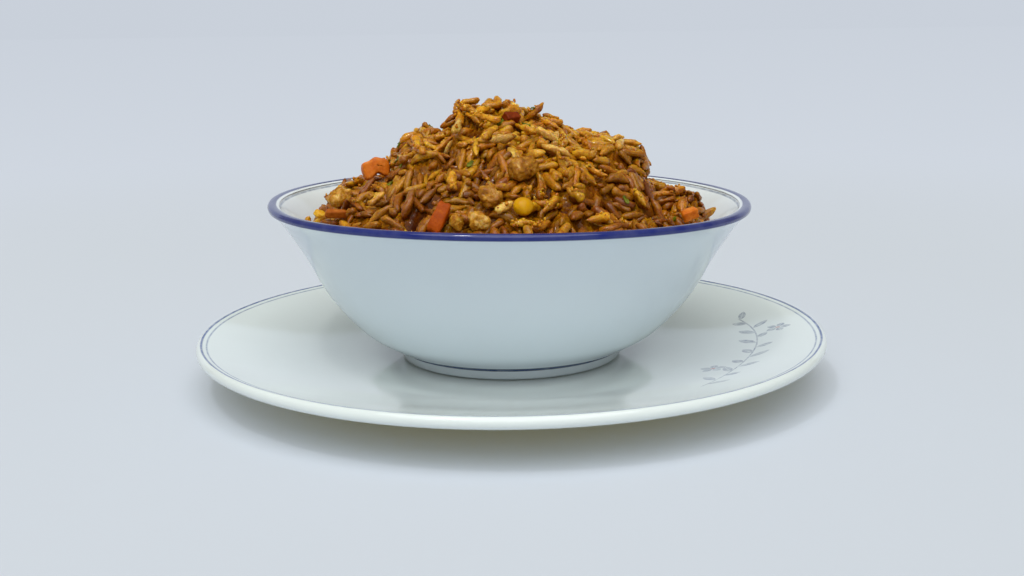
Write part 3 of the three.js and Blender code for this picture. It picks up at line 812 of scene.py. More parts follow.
def grain_mesh(name, c, a, L, W, cols, up, mat, rings, segs, seed):
    """Joined grains: swollen, bent, blunt or tapered, each one different."""
    g = np.random.default_rng(seed)
    n = len(c)
    u, v = frame_of(a, g)
    t = -np.cos(np.linspace(0, np.pi, rings + 2))[1:-1]          # along the grain, -1 to 1
    ang = np.arange(segs) / segs * 2 * np.pi
    # ends: rounded, or blunt where the grain broke
    p1, p2 = (np.where(g.uniform(size=(n, 1)) < 0.28, g.uniform(5.0, 9.0, (n, 1)), g.uniform(1.7, 3.0, (n, 1))) for _ in range(2))
    p = np.where(t[None] < 0, p1, p2)
    r = (1 - np.abs(t[None]) ** p) ** g.uniform(0.5, 0.85, (n, 1))                            # n, rings
    r = r * (1 + g.normal(0, 0.13, (n, 1)) * t[None]) * (1 - g.uniform(-0.06, 0.14, (n, 1)) * np.exp(-((t[None] - g.uniform(-0.4, 0.4, (n, 1))) / 0.35) ** 2))
    flat = g.uniform(0.76, 0.98, (n, 1, 1))
    bend = g.normal(0, 0.55, (n, 1)) * (L / 9.0)[:, None]
    bend2 = g.normal(0, 0.28, (n, 1))
    off_u = bend * (1 - t[None] ** 2) + bend2 * t[None] ** 3
    off_v = g.normal(0, 0.22, (n, 1)) * np.sin(2.4 * t[None] + g.uniform(0, 6, (n, 1)))
    ph = g.uniform(0, 6.28, (5, n, 1, 1))
    T_, A_ = t[None, :, None], ang[None, None, :]
    wave = (1 + 0.080 * np.sin(2 * A_ + 3.1 * T_ + ph[0]) + 0.075 * np.sin(3 * A_ - 4.3 * T_ + ph[1])
            + 0.050 * np.sin(7.1 * T_ + ph[2]) + 0.040 * np.sin(5 * A_ + 8.0 * T_ + ph[3]) + 0.02 * g.normal(size=(n, rings, segs)))
    groove = 1 - 0.12 * np.exp(-((A_ - np.pi / 2) ** 2) / 0.20)
    R = (W / 2)[:, None, None] * r[..., None] * groove * wave
    ru = R * np.cos(ang)[None, None] + off_u[..., None]
    rv = R * np.sin(ang)[None, None] * flat + off_v[..., None]
    along = (L / 2)[:, None, None] * t[None, :, None]
    pts = (c[:, None, None] + a[:, None, None] * along[..., None]
           + u[:, None, None] * ru[..., None] + v[:, None, None] * rv[..., None])
    tips = []
    for side_ in (-1, 1):
        tips.append(c + a * side_ * (L / 2)[:, None] + u * (bend2 * side_) + v * (off_v[:, :1] if side_ < 0 else off_v[:, -1:]))
    per = rings * segs + 2
    verts = np.concatenate([pts.reshape(n, -1, 3), tips[0][:, None], tips[1][:, None]], 1)
    from_axis = verts - c[:, None] - a[:, None] * ((verts - c[:, None]) * a[:, None]).sum(-1, keepdims=True) * 0.8
    size = np.linalg.norm(from_axis, axis=-1, keepdims=True) + 1e-6
    lumps = rough(verts.reshape(-1, 3), 0.44, 1.9, seed % 7).reshape(n, per, 1)
    verts = verts + from_axis / size * lumps
    i = np.arange(rings - 1)[:, None] * segs
    j = np.arange(segs)[None]
    k = (j + 1) % segs
    quads = np.stack([i + j, i + k, i + segs + k, i + segs + j], -1).reshape(-1, 4)
    j1 = np.arange(segs)
    k1 = (j1 + 1) % segs
    last = (rings - 1) * segs
    tris = np.concatenate([np.stack([np.full(segs, rings * segs), k1, j1], -1),
                           np.stack([np.full(segs, rings * segs + 1), last + j1, last + k1], -1)])
    base = (np.arange(n) * per)[:, None, None]
    Q = (quads[None] + base).reshape(-1, 4)
    T = (tris[None] + base).reshape(-1, 3)
    # colour: one tone a grain, with browner ends, streaks and patches of sauce, and paler patches; then painted light
    # and shade: each grain's side that faces out of the heap is lighter, its side towards the heap darker
    tt = np.concatenate([np.repeat(t, segs), [-1, 1]])[None]
    aa = np.concatenate([np.tile(ang, rings), [0, 0]])[None]
    f1, f2, f3, f4 = (g.uniform(0, 6.28, (n, 1)) for _ in range(4))
    patch = 0.62 * np.sin(2.6 * tt + f1 + 1.3 * np.sin(aa + f2)) + 0.32 * np.sin(5.3 * tt + f3 - 1.1 * np.cos(aa + f4)) + 0.25 * np.sin(2 * aa + f2 + 1.5 * tt)
    brown = np.clip(0.10 - 0.24 * patch + 0.25 * np.abs(tt) ** 3, 0, 0.7)
    pale = np.clip(0.5 * patch - 0.10, 0, 0.5)
    # painted light and shade: lighter where the surface faces out of the heap, darker where it faces in
    painted_light_facing = ((from_axis / size) * up[:, None]).sum(-1)
    painted_light_facing = np.clip(0.5 + 0.62 * painted_light_facing, 0, 1)
    painted_light_facing = painted_light_facing * painted_light_facing * (3 - 2 * painted_light_facing)
    C = cols[:, None] * (1 - brown[..., None] * np.array([0.50, 0.66, 0.84])) * (1 + pale[..., None] * np.array([0.38, 0.54, 0.72]))
    C = C * (0.58 + 0.49 * painted_light_facing)[..., None] ** np.array([0.8, 1.2, 1.6])
    return make_mesh(name, verts.reshape(-1, 3), [Q, T], [mat], attrs={"tone": np.clip(C, 0, 1).reshape(-1, 3)})


def rough(P, amount, scale, seed):
    """How far each point is pushed out, by noise of two sizes."""
    from mathutils import noise as mn
    o = Vector((seed * 7.3, seed * 3.1, seed * 5.7))
    out = np.empty(len(P))
    for i, q in enumerate(P):
        q = Vector(q) / scale + o
        out[i] = mn.noise(q) + 0.5 * mn.noise(q * 2.3)
    return out * amount


def ico(level):
    import bmesh
    bm = bmesh.new()
    bmesh.ops.create_icosphere(bm, subdivisions=level, radius=1.0)
    v = np.array([x.co[:] for x in bm.verts])
    f = np.array([[y.index for y in x.verts] for x in bm.faces])
    bm.free()
    return v, f


def crumb_mesh(name, c, a, L, W, cols, mat, seed, level=3):
    """Joined soft crumbs: bits of broken rice, egg and meat."""
    g = np.random.default_rng(seed)
    b, f = ico(level)
    n, m = len(c), len(b)
    u, v = frame_of(a, g)
    s = np.ones((n, m))
    for k, amp in ((1.7, 0.15), (2.9, 0.11), (5.1, 0.06), (8.5, 0.035)):
        w = g.normal(size=(n, 3))
        w /= np.linalg.norm(w, axis=1)[:, None]
        s += amp * np.sin(k * (b[None] * w[:, None]).sum(-1) * 1.6 + g.uniform(0, 6.28, (n, 1)))
    P = b[None] * s[..., None]
    flat = g.uniform(0.7, 1.0, (n, 1))
    pts = (c[:, None] + a[:, None] * (P[..., 0] * (L / 2)[:, None])[..., None]
           + u[:, None] * (P[..., 1] * (W / 2)[:, None])[..., None]
           + v[:, None] * (P[..., 2] * (W / 2)[:, None] * flat)[..., None])
    F = (f[None] + (np.arange(n) * m)[:, None, None]).reshape(-1, 3)
    # painted shade: each crumb darker in its dips and lighter on its bulges, with a little random tone
    shade = np.clip(0.72 + 0.28 * s, 0.5, 1.15) + g.normal(0, 0.03, (n, m))
    C = np.clip(cols[:, None] * shade[..., None] ** np.array([1.0, 1.25, 1.5]), 0, 1)
    return make_mesh(name, pts.reshape(-1, 3), F, [mat], attrs={"tone": C.reshape(-1, 3)})


def rice_material(name, rough=0.40, wet=1.0):
    m, nt, bsdf = material(name)
    pos = node(nt, "ShaderNodeTexCoord").outputs["Object"]
    tone = node(nt, "ShaderNodeAttribute", attribute_name="tone", attribute_type="GEOMETRY").outputs["Color"]
    # sauce clings in patches and streaks
    patch = noise(nt, pos, 520.0, 4.0, 0.6, 0.4)
    k = ramp(nt, patch, [(0.36, (0.74, 0.56, 0.34)), (0.50, (0.98, 0.94, 0.88)), (0.66, (1.09, 1.16, 1.24))])
    col = mix(nt, 1.0, tone, k, "MULTIPLY")
    fine = noise(nt, pos, 1700.0, 3.0)
    k2 = ramp(nt, fine, [(0.36, (0.82, 0.78, 0.72)), (0.64, (1.08, 1.08, 1.08))])
    col = mix(nt, 1.0, col, k2, "MULTIPLY")
    nt.links.new(col, bsdf.inputs["Base Color"])
    rr = ramp(nt, noise(nt, pos, 300.0, 3.0), [(0.35, (rough * 0.7,) * 3), (0.7, (rough * 1.35,) * 3)])
    nt.links.new(rr, bsdf.inputs["Roughness"])
    bsdf.inputs["IOR"].default_value = 1.42
    bsdf.inputs["Subsurface Weight"].default_value = 0.7
    bsdf.inputs["Subsurface Radius"].default_value = (1.0, 0.55, 0.14)
    bsdf.inputs["Subsurface Scale"].default_value = 0.0014
    bsdf.inputs["Specular IOR Level"].default_value = 0.08 * wet
    bsdf.inputs["Coat Weight"].default_value = 0.62 * wet
    bsdf.inputs["Coat Roughness"].default_value = 0.10
    h = math_(nt, "ADD", noise(nt, pos, 900.0, 3.0), math_(nt, "MULTIPLY", noise(nt, pos, 2600.0, 2.0), 0.4))
    nt.links.new(bump(nt, h, 0.85, 0.0006), bsdf.inputs["Normal"])
    return m


c, a, L, W, kd = make_grains()

# tones: golden with soy, in patches, some pale, some dark
g = np.random.default_rng(5)
TONE_AT = [0.0, 0.25, 0.5, 0.75, 1.0]
TONES = np.array([srgb(*t) for t in ((150, 84, 6), (180, 112, 8), (205, 142, 14), (225, 169, 34), (242, 208, 120))])


def tone_field(x, y, z):
    q = (np.sin(0.55 * x + 0.31 * y + 0.9) + np.sin(-0.37 * x + 0.62 * y + 0.4 * z + 2.2) + np.sin(0.48 * z + 0.29 * x - 0.66 * y + 4.0)
         + 0.8 * np.sin(0.13 * x - 0.17 * y + 1.0)) / 3.8
    return q


def tones(t):
    return np.stack([np.interp(t, TONE_AT, TONES[:, k]) for k in range(3)], -1)


# tone in patches and at random, and, as painted light, a little paler for grains high on the heap and darker for low
# ones
tv = 0.50 + 0.26 * tone_field(*c.T) + g.normal(0, 0.12, len(c)) + np.where(kd == 0, 0.0, 0.03) + np.clip((c[:, 2] - 85) / 110, -0.12, 0.07)
tv[-len(LAID):] = [o[4] for o in LAID]
cols = tones(np.clip(tv, 0, 1)) * g.normal(1, 0.05, (len(c), 1))
cols = cols * (1 + g.normal(0, 1, (len(c), 1)) * np.array([0.02, -0.03, -0.05]))
MAT_RICE = rice_material("rice_browned")
MAT_MASH = rice_material("rice_mashed", 0.62, 0.25)
_, nn = ground(c[:, 0], c[:, 1])
height = (c[:, 2] - table(GROUND, c[:, 0], c[:, 1])) * nn[:, 2]
# painted shade: grains that lie deeper among the others are darker and browner, and painted light: grains high on the
# heap are kept lighter
cols = cols * np.clip(0.50 + 0.12 * height + 0.38 * np.clip((c[:, 2] - 76) / 20, 0, 1), 0.5, 1.0)[:, None] ** np.array([1.0, 1.25, 1.6])
# painted shade: darkest round the hollows, most for the grains that lie low in them
shade = sum(np.exp(-((c[:, 0] - hx) ** 2 + (c[:, 1] - hy) ** 2) / (1.25 * hr) ** 2) for hx, hy, _, hr in HOLLOWS)
shade = np.clip(shade, 0, 1) * np.clip((7.5 - height) / 4.5, 0.15, 1)
cols = cols * (1 - 0.5 * shade)[:, None] ** np.array([0.9, 1.3, 1.7])
outer = height > 3.0
grain = kd == 0
groups = {"rice_under": (grain & ~outer, 8, 8)}
for i in range(4):
    groups["rice_grains_" + "abcd"[i]] = (grain & outer & (np.arange(len(c)) % 4 == i), 14, 12)
for i, (name, (sel, rings, segs)) in enumerate(groups.items()):
    ob = grain_mesh(name, c[sel], a[sel], L[sel], W[sel], cols[sel], nn[sel], MAT_RICE, rings, segs, 60 + i)
    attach(ob, "root")
    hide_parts("rice_heap")
    print(name, int(sel.sum()), "grains", len(ob.data.polygons))
for name, sel, level in (("rice_crumbs_large", ~grain & (L >= 3.0), 3), ("rice_crumbs_small", ~grain & (L < 3.0), 2)):
    sel = sel & (height > 0.9)
    ob = crumb_mesh(name, c[sel], a[sel], L[sel], W[sel], cols[sel], MAT_RICE, 80 + level, level)
    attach(ob, "root")
    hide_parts("rice_heap")
    print(ob.name, int(sel.sum()), "crumbs", len(ob.data.polygons))


def stuck_crumbs(count, seed):
    """Specks of mashed rice that cling to the outer grains."""
    g = np.random.default_rng(seed)
    pick = np.nonzero(outer & (L > 3.0))[0]
    i = g.choice(pick, count)
    n_ = nn[i] + g.normal(0, 0.55, (count, 3))
    n_ -= (n_ * a[i]).sum(1)[:, None] * a[i]
    n_ /= np.linalg.norm(n_, axis=1)[:, None]
    at_ = c[i] + a[i] * (g.uniform(-0.85, 0.85, count) * L[i] / 2)[:, None] + n_ * (W[i] / 2 * 0.86)[:, None]
    length = g.uniform(0.7, 2.1, count)
    d = g.normal(size=(count, 3))
    d /= np.linalg.norm(d, axis=1)[:, None]
    shade = np.clip(0.46 + 0.30 * tone_field(*at_.T) + g.normal(0, 0.15, count), 0, 0.9)
    return crumb_mesh("rice_specks", at_, d, length, length * g.uniform(0.5, 0.85, count), tones(shade), MAT_RICE, seed, 2)


specks = stuck_crumbs(1000, 91)
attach(specks, "root")
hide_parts("rice_heap")
print("specks", len(specks.data.polygons))


# ---------------------------------------------------------------- core of the heap
def cells(x, y, size, seed):
    """Distance to the nearest and second nearest of scattered points, about size apart."""
    u, v = x / size, y / size
    iu, iv = np.floor(u).astype(int), np.floor(v).astype(int)
    best = np.full(x.shape, 9.0)
    second = np.full(x.shape, 9.0)
    for du in (-1, 0, 1):
        for dv in (-1, 0, 1):
            cu, cv = iu + du, iv + dv
            h1 = np.sin(cu * 127.1 + cv * 311.7 + seed) * 43758.5453
            h2 = np.sin(cu * 269.5 + cv * 183.3 + seed) * 43758.5453
            d = np.hypot(cu + h1 - np.floor(h1) - u, cv + h2 - np.floor(h2) - v)
            second = np.minimum(second, np.maximum(best, d))
            best = np.minimum(best, d)
    return best, second


def relief(x, y):
    """Mashed rice between the grains, 0 in the creases to about 1 on its lumps."""
    wx, wy = x + 0.8 * np.sin(0.9 * y + 1.0), y + 0.8 * np.sin(0.8 * x + 2.0)
    a1, b1 = cells(wx, wy, 4.6, 1.0)
    a2, b2 = cells(wx * 0.8 + wy * 0.6, wy * 0.8 - wx * 0.6, 2.3, 5.0)
    return np.clip(0.66 * np.clip(1.15 - a1 * a1 * 1.5, 0, 1) + 0.34 * np.clip(1.1 - a2 * a2 * 1.6, 0, 1), 0, 1)


def core_mesh():
    segs, rings = 420, 170
    verts, faces = [], []
    ang = np.arange(segs) / segs * 2 * np.pi
    rr = np.sqrt(np.linspace(0, 1, rings + 1)[1:]) ** 1.4
    edge = rim_r(ang) - 1.0
    tops, tone = [], []
    for k in rr:
        x = k * edge * np.sin(ang)
        y = -k * edge * np.cos(ang)
        h = relief(x, y)
        h = h * (0.75 + 0.25 * np.sin(2.1 * x + 1.7 * y) * np.sin(1.6 * x - 2.3 * y + 1.0))
        pit = np.clip(sum(np.exp(-((x - hx) ** 2 + (y - hy) ** 2) / (hr * 1.15) ** 2) for hx, hy, _, hr in HOLLOWS), 0, 1)
        z = table(GROUND, x, y) + 3.0 * h - 1.0 + 0.2 * (1 - pit)
        r = np.hypot(x, y)
        z = np.maximum(z, bowl_z(r) + 0.35)
        tops.append(np.column_stack([x, y, z]))
        # painted shade: the mash is darker than the grains, darker still in its creases and darkest in the hollows
        deep = (0.22 + 0.78 * h) * (1 - 0.84 * pit)
        tone.append(0.62 * tones(np.clip(0.40 + 0.3 * tone_field(x, y, z), 0, 1)) * deep[:, None] ** np.array([0.9, 1.4, 1.9]))
    unders = []
    for k in np.linspace(1, 0, 14)[1:-1]:
        x = k * edge * np.sin(ang)
        y = -k * edge * np.cos(ang)
        unders.append(np.column_stack([x, y, bowl_z(np.hypot(x, y)) + 0.32]))
        tone.append(np.tile(TONES[1], (segs, 1)))
    verts = np.concatenate(tops + unders + [[[0, 0, float(table(GROUND, np.zeros(1), np.zeros(1))[0])]], [[0, 0, BOWL_BASE + BOWL_FLOOR + 0.32]]])
    tone = np.concatenate(tone + [TONES[1:3]])
    n = len(tops) + len(unders)
    i = np.arange(n - 1)[:, None] * segs
    j = np.arange(segs)[None]
    k = (j + 1) % segs
    quads = np.stack([i + j, i + segs + j, i + segs + k, i + k], -1).reshape(-1, 4)
    j1 = np.arange(segs)
    k1 = (j1 + 1) % segs
    top, bot = n * segs, n * segs + 1
    last = (n - 1) * segs
    tris = np.concatenate([np.stack([np.full(segs, top), j1, k1], -1), np.stack([np.full(segs, bot), last + k1, last + j1], -1)])
    return make_mesh("rice_core", verts, [quads, tris], [MAT_MASH], attrs={"tone": tone})


core = core_mesh()
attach(core, "root")
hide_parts("rice_heap")


# ---------------------------------------------------------------- toppings
def food(name, stops, rough, sss, sss_scale, bumps, scale=300.0, coat=0.3):
    m, nt, bsdf = material(name)
    pos = node(nt, "ShaderNodeTexCoord").outputs["Object"]
    n = noise(nt, pos, scale, 5.0, 0.6, 0.3)
    nt.links.new(ramp(nt, n, stops), bsdf.inputs["Base Color"])
    nt.links.new(ramp(nt, noise(nt, pos, scale * 1.4, 3.0), [(0.3, (rough * 0.75,) * 3), (0.7, (rough * 1.3,) * 3)]), bsdf.inputs["Roughness"])
    bsdf.inputs["Subsurface Weight"].default_value = sss
    bsdf.inputs["Specular IOR Level"].default_value = 0.10
    bsdf.inputs["Subsurface Radius"].default_value = (1.0, 0.5, 0.12)
    bsdf.inputs["Subsurface Scale"].default_value = sss_scale
    bsdf.inputs["Coat Weight"].default_value = coat
    bsdf.inputs["Coat Roughness"].default_value = 0.15
    nt.links.new(bump(nt, noise(nt, pos, scale * 3, 4.0), 0.5, bumps), bsdf.inputs["Normal"])
    return m


MAT_CARROT = food("carrot_cooked", [(0.3, srgb(150, 58, 0)), (0.55, srgb(176, 76, 0)), (0.8, srgb(196, 104, 10))], 0.5, 0.08, 0.0008, 0.0005, 420.0, 0.06)
# painted light: a lighter copy of the carrot colour, for the left and right carrot pieces
MAT_CARROT_PAINTED_LIGHTER = food("carrot_painted_lighter", [(0.3, srgb(196, 92, 4)), (0.55, srgb(218, 118, 26)), (0.8, srgb(236, 152, 74))], 0.45, 0.12, 0.0008, 0.0005, 420.0, 0.15)
MAT_RED = food("pepper_cooked", [(0.3, srgb(98, 30, 0)), (0.6, srgb(128, 46, 2)), (0.8, srgb(154, 76, 16))], 0.45, 0.08, 0.0008, 0.0004, 420.0, 0.05)
MAT_SLIVER = food("sliver_cooked", [(0.3, srgb(146, 66, 4)), (0.6, srgb(174, 92, 20)), (0.8, srgb(198, 128, 54))], 0.45, 0.08, 0.0008, 0.0004, 420.0, 0.1)
MAT_CORN = food("corn_skin", [(0.3, srgb(196, 136, 0)), (0.6, srgb(216, 158, 0)), (0.85, srgb(230, 178, 0))], 0.3, 0.15, 0.001, 0.00015, 200.0, 0.18)
MAT_EGG = food("egg_cooked", [(0.34, srgb(146, 88, 10)), (0.46, srgb(182, 122, 24)), (0.56, srgb(206, 152, 54)), (0.68, srgb(234, 196, 118))], 0.42, 0.5, 0.0014, 0.0006, 380.0, 0.3)
MAT_EGG_BROWN = food("egg_browned", [(0.34, srgb(124, 70, 4)), (0.46, srgb(156, 98, 12)), (0.56, srgb(178, 120, 26)), (0.68, srgb(212, 164, 78))], 0.42, 0.5, 0.0014, 0.0006, 380.0, 0.35)
MAT_YOLK = food("egg_yellow", [(0.3, srgb(190, 122, 12)), (0.55, srgb(224, 166, 34)), (0.8, srgb(238, 204, 96))], 0.45, 0.3, 0.002, 0.0004, 240.0, 0.15)


def euler(rx, ry, rz):
    """As three.js turns: about X, then Y, then Z, in the piece's own axes."""
    return np.array((Matrix.Rotation(rx, 3, "X") @ Matrix.Rotation(ry, 3, "Y") @ Matrix.Rotation(rz, 3, "Z")))


def put(name, nodes, verts, faces, mat, turn, at):
    R = euler(*turn)
    ob = make_mesh(name, verts @ R.T + np.array(at), faces, [mat])
    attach(ob, "root")
    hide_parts(*nodes)
    return ob


def lump_piece(name, cad, size, seed, mat, turn, at, lobes=9):
    """A soft clump, grown together from rounded lobes."""
    v, f = ico(5)
    g = np.random.default_rng(int(seed * 10))
    d = g.normal(size=(lobes, 3))
    d /= np.linalg.norm(d, axis=1)[:, None]
    reach = g.uniform(0.16, 0.36, lobes)
    sharp = g.uniform(4.0, 9.0, lobes)
    s = 0.80 + (reach[None] * np.exp(sharp[None] * (v @ d.T - 1))).sum(1)
    for k, amp in ((9, 0.018), (17, 0.012)):
        s = s + amp * np.sin(k * v[:, 0] + seed + 2 * np.sin(3 * v[:, 1])) * np.sin(k * 0.9 * v[:, 2] - seed + 2 * np.sin(4 * v[:, 0]))
    s = s / s.max() * 1.06
    v = v * s[:, None] * np.array(size) / 2
    v = v + v / np.linalg.norm(v, axis=1)[:, None] * (rough(v, 0.80, 2.6, seed) + rough(v, 0.16, 0.7, seed + 9))[:, None]
    return put(name, [cad], v, [f], mat, turn, at)


def dice_piece(name, cad, a_, b_, c_, taper, mat, turn, at, seed, hollow=False):
    """A cut block: rounded edges, worn corners, faces not quite flat."""
    import bmesh
    n = 14
    bm = bmesh.new()
    bmesh.ops.create_cube(bm, size=2.0)
    bmesh.ops.subdivide_edges(bm, edges=bm.edges[:], cuts=n, use_grid_fill=True)
    bm.verts.ensure_lookup_table()
    v = np.array([x.co[:] for x in bm.verts])
    f = [np.array([[y.index for y in x.verts] for x in bm.faces])]
    bm.free()
    p = 7.0
    v = v / ((np.abs(v) ** p).sum(1) ** (1 / p))[:, None]
    v = v / np.abs(v).max(0)
    x, y, z = v.T
    tap = 1 + (taper - 1) * (x + 1) / 2
    wob = 0.05 * np.sin(3.1 * y + seed) + 0.04 * np.sin(4.3 * z + 2 * seed)
    X = x * (1 + wob) * a_ / 2
    Y = y * tap * (1 + 0.05 * np.sin(3.7 * x + seed)) * b_ / 2
    Z = z * (1 + 0.06 * np.sin(2.9 * x - 1.7 * y + seed)) * c_ / 2
    if hollow:
        Y = Y + np.where(y < 0, 0.75, 0.25) * b_ / 2 * np.exp(-((x - 0.08) ** 2) / 0.16) * (1 - 0.3 * z * z)
    return put(name, [cad], np.column_stack([X, Y, Z]), f, mat, turn, at)


at = lift_at
dice_piece("carrot_folded", "carrot_dice_left", 9.8, 7.0, 6.2, 0.96, MAT_CARROT_PAINTED_LIGHTER, (1.35, 0.15, 0.2), at(-48.4, -9.5, 1.8), 1.0, True)
dice_piece("carrot_stick", "carrot_stick_front", 10.4, 5.0, 4.6, 0.72, MAT_CARROT, (-0.35, -1.15, 0), at(-22.9, -62.5, 0.9), 2.0)
dice_piece("carrot_bit", "carrot_bit_right", 5.6, 3.8, 3.6, 0.85, MAT_CARROT_PAINTED_LIGHTER, (0.3, -0.3, 0.2), at(62.7, -34.1, 0.4), 3.0)
dice_piece("pepper_sliver", "carrot_sliver_left", 7.4, 2.9, 2.6, 0.8, MAT_SLIVER, (0.3, 0.1, 0.15), at(-60.3, -34.0, 0.5), 4.0)
dice_piece("pepper_bit", "pepper_bit_top", 6.0, 3.8, 3.2, 0.75, MAT_RED, (0.6, 0.4, 0.5), at(1.2, -14.6, 0.4), 5.0)


def corn_piece():
    v, f = ico(5)
    x, y, z = v.T
    # broad crown at +Y, narrow tip at -Y, a faint dimple in the crown
    w = 1 - 0.22 * np.clip(-y, 0, 1) ** 1.3 + 0.02 * np.sin(6 * z)
    dimple = 0.10 * np.exp(-((x * x + z * z) / 0.12)) * (y > 0)
    V = np.column_stack([x * w * 3.45, (y - dimple) * 3.5, z * w * 3.45 * 0.84])
    return put("corn", ["corn_kernel"], V, [f], MAT_CORN, (0.5, 0.2, 0.3), at(4.6, -62.7, 1.8))


corn_piece()
lump_piece("yolk_bit", "egg_bit_left", (6.8, 4.6, 3.4), 0.4, MAT_YOLK, (0.1, 0.1, 0.3), at(-67.0, -25.8, 0.4))
lump_piece("egg_left", "egg_lump_left", (10.2, 9.4, 9.0), 1.1, MAT_EGG, (0, 0.2, 0.4), at(-59.4, -22.6, 0.9))
lump_piece("egg_centre", "egg_lump_centre", (12.6, 11.0, 10.8), 2.3, MAT_EGG_BROWN, (0.3, 0, 0.3), at(4.6, -44.4, -0.8))
lump_piece("egg_middle", "egg_lump_middle", (12.4, 9.4, 10.0), 3.1, MAT_EGG_BROWN, (0.2, 0.3, 0), at(-5.6, -56.6, -1.4))
lump_piece("meat_front", "meat_bit_front", (8.6, 7.6, 8.2), 4.2, MAT_EGG, (0, 0.2, 0.8), at(-9.8, -64.8, -0.4))
lump_piece("meat_front_left", "meat_bit_front_left", (6.6, 6.0, 6.4), 5.6, MAT_EGG, (0.4, 0, 0.1), at(-17.4, -63.6, 0.2))

MAT_HERB = food("herb_green", [(0.3, srgb(70, 78, 6)), (0.55, srgb(108, 112, 18)), (0.8, srgb(150, 146, 52))], 0.5, 0.1, 0.0006, 0.0003, 600.0, 0.1)


def herb_flakes():
    """Chopped green herb: small curled flakes, stuck flat on the rice."""
    g = np.random.default_rng(17)
    laid = [(-38.5, -27.0), (-36.0, -24.5), (30.6, -26.2), (-41.0, -30.0), (-2.0, -20.0), (56.0, -30.0)]
    more = g.uniform(-60, 60, (14, 2))
    more = more[np.hypot(more[:, 0], more[:, 1]) < 62]
    verts, faces, base = [], [], 0
    nu, nv = 9, 6
    for hx, hy in np.concatenate([laid, more]):
        near = np.nonzero(np.hypot(c[:, 0] - hx, c[:, 1] - hy) < 3.5)[0]
        k = near[np.argmax(c[near, 2])] if len(near) else None
        n_ = nn[k] if k is not None else np.array([0, 0, 1.0])
        o = c[k] + n_ * (W[k] / 2 * 0.92) if k is not None else np.array([hx, hy, float(heap_top(hx, hy))])
        t_ = np.cross(n_, g.normal(size=3))
        t_ /= np.linalg.norm(t_)
        b_ = np.cross(n_, t_)
        lu, lv, curl = g.uniform(1.2, 2.1), g.uniform(0.6, 1.1), g.uniform(0.2, 0.6)
        uu, vv = np.meshgrid(np.linspace(-1, 1, nu), np.linspace(-1, 1, nv), indexing="ij")
        ww = lv * vv * (1 - 0.6 * uu**2) * (1 + 0.25 * np.sin(5 * uu + hx))
        hh = curl * (uu**2 + 0.4 * vv * uu) + 0.12 * np.sin(4 * uu + 3 * vv)
        for lift_ in (0.12, -0.12):
            verts.append((o + t_ * (lu * uu)[..., None] + b_ * ww[..., None] + n_ * (hh + lift_)[..., None]).reshape(-1, 3))
        i_, j_ = np.meshgrid(np.arange(nu - 1), np.arange(nv - 1), indexing="ij")
        q = np.stack([i_ * nv + j_, (i_ + 1) * nv + j_, (i_ + 1) * nv + j_ + 1, i_ * nv + j_ + 1], -1).reshape(-1, 4)
        rim = [(r_, 0) for r_ in range(nu)] + [(nu - 1, c_) for c_ in range(1, nv)] + [(r_, nv - 1) for r_ in range(nu - 2, -1, -1)] + [(0, c_) for c_ in range(nv - 2, 0, -1)]
        rim = np.array([r_ * nv + c_ for r_, c_ in rim])
        nxt = np.roll(rim, -1)
        m = nu * nv
        faces += [q + base, q[:, ::-1] + base + m, np.stack([rim + base, rim + base + m, nxt + base + m, nxt + base], -1)]
        base += 2 * m
    return make_mesh("herb_flakes", np.concatenate(verts), [np.concatenate(faces)], [MAT_HERB])


herbs = herb_flakes()
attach(herbs, "root")
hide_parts("rice_heap")

# ---------------------------------------------------------------- floor and light
BACKDROP = srgb(211, 218, 227)          # what the floor looks like where the light is even
FAR = srgb(202, 209, 219)               # and the wall far behind it
FLOOR = srgb(199, 207, 222)
PAINTED_GLOW = (0.070, 0.060, 0.026)            # painted light: the floor near the plate glows a little warm, to lighten the shadow under the plate
fm, nt, bsdf = material("studio_floor")
pos = node(nt, "ShaderNodeTexCoord").outputs["Object"]
fx, fy, fz = node(nt, "ShaderNodeSeparateXYZ", {0: pos}).outputs
away = math_(nt, "SQRT", math_(nt, "ADD", math_(nt, "MULTIPLY", fx, fx), math_(nt, "MULTIPLY", fy, fy)))
cloud = noise(nt, pos, 3.0, 3.0)
# past arm's length the floor is a lit backdrop
lit = ramp(nt, math_(nt, "MULTIPLY", away, 0.5), [(0.14, (0.0,) * 3), (0.42, (1.0,) * 3)], "EASE")
near_col = ramp(nt, cloud, [(0.3, tuple(x * 0.99 for x in FLOOR)), (0.7, FLOOR)])
nt.links.new(mix(nt, lit, near_col, (0.0, 0.0, 0.0)), bsdf.inputs["Base Color"])
depth = math_(nt, "MAXIMUM", math_(nt, "ADD", fy, 0.48), 0.3)
far_t = math_(nt, "SUBTRACT", 1.0, math_(nt, "DIVIDE", 0.75, depth), clamp=True)
far_col = mix(nt, far_t, BACKDROP, FAR)
# painted light: near the plate the floor emits the warm glow, farther out it is the evenly lit backdrop
nt.links.new(mix(nt, lit, PAINTED_GLOW, far_col), bsdf.inputs["Emission Color"])
bsdf.inputs["Emission Strength"].default_value = 1.0
bsdf.inputs["Roughness"].default_value = 1.0
bsdf.inputs["Specular IOR Level"].default_value = 0.0
nt.links.new(bump(nt, noise(nt, pos, 900.0, 2.0), 0.05, 0.0002), bsdf.inputs["Normal"])
V = np.array([[x, y, -0.02] for y in (-8000.0, 0.0, 9000.0) for x in (-9000.0, 0.0, 9000.0)])
F = np.array([[i * 3 + j, i * 3 + j + 1, (i + 1) * 3 + j + 1, (i + 1) * 3 + j] for i in range(2) for j in range(2)])
floor = make_mesh("studio_floor", V, F, [fm])

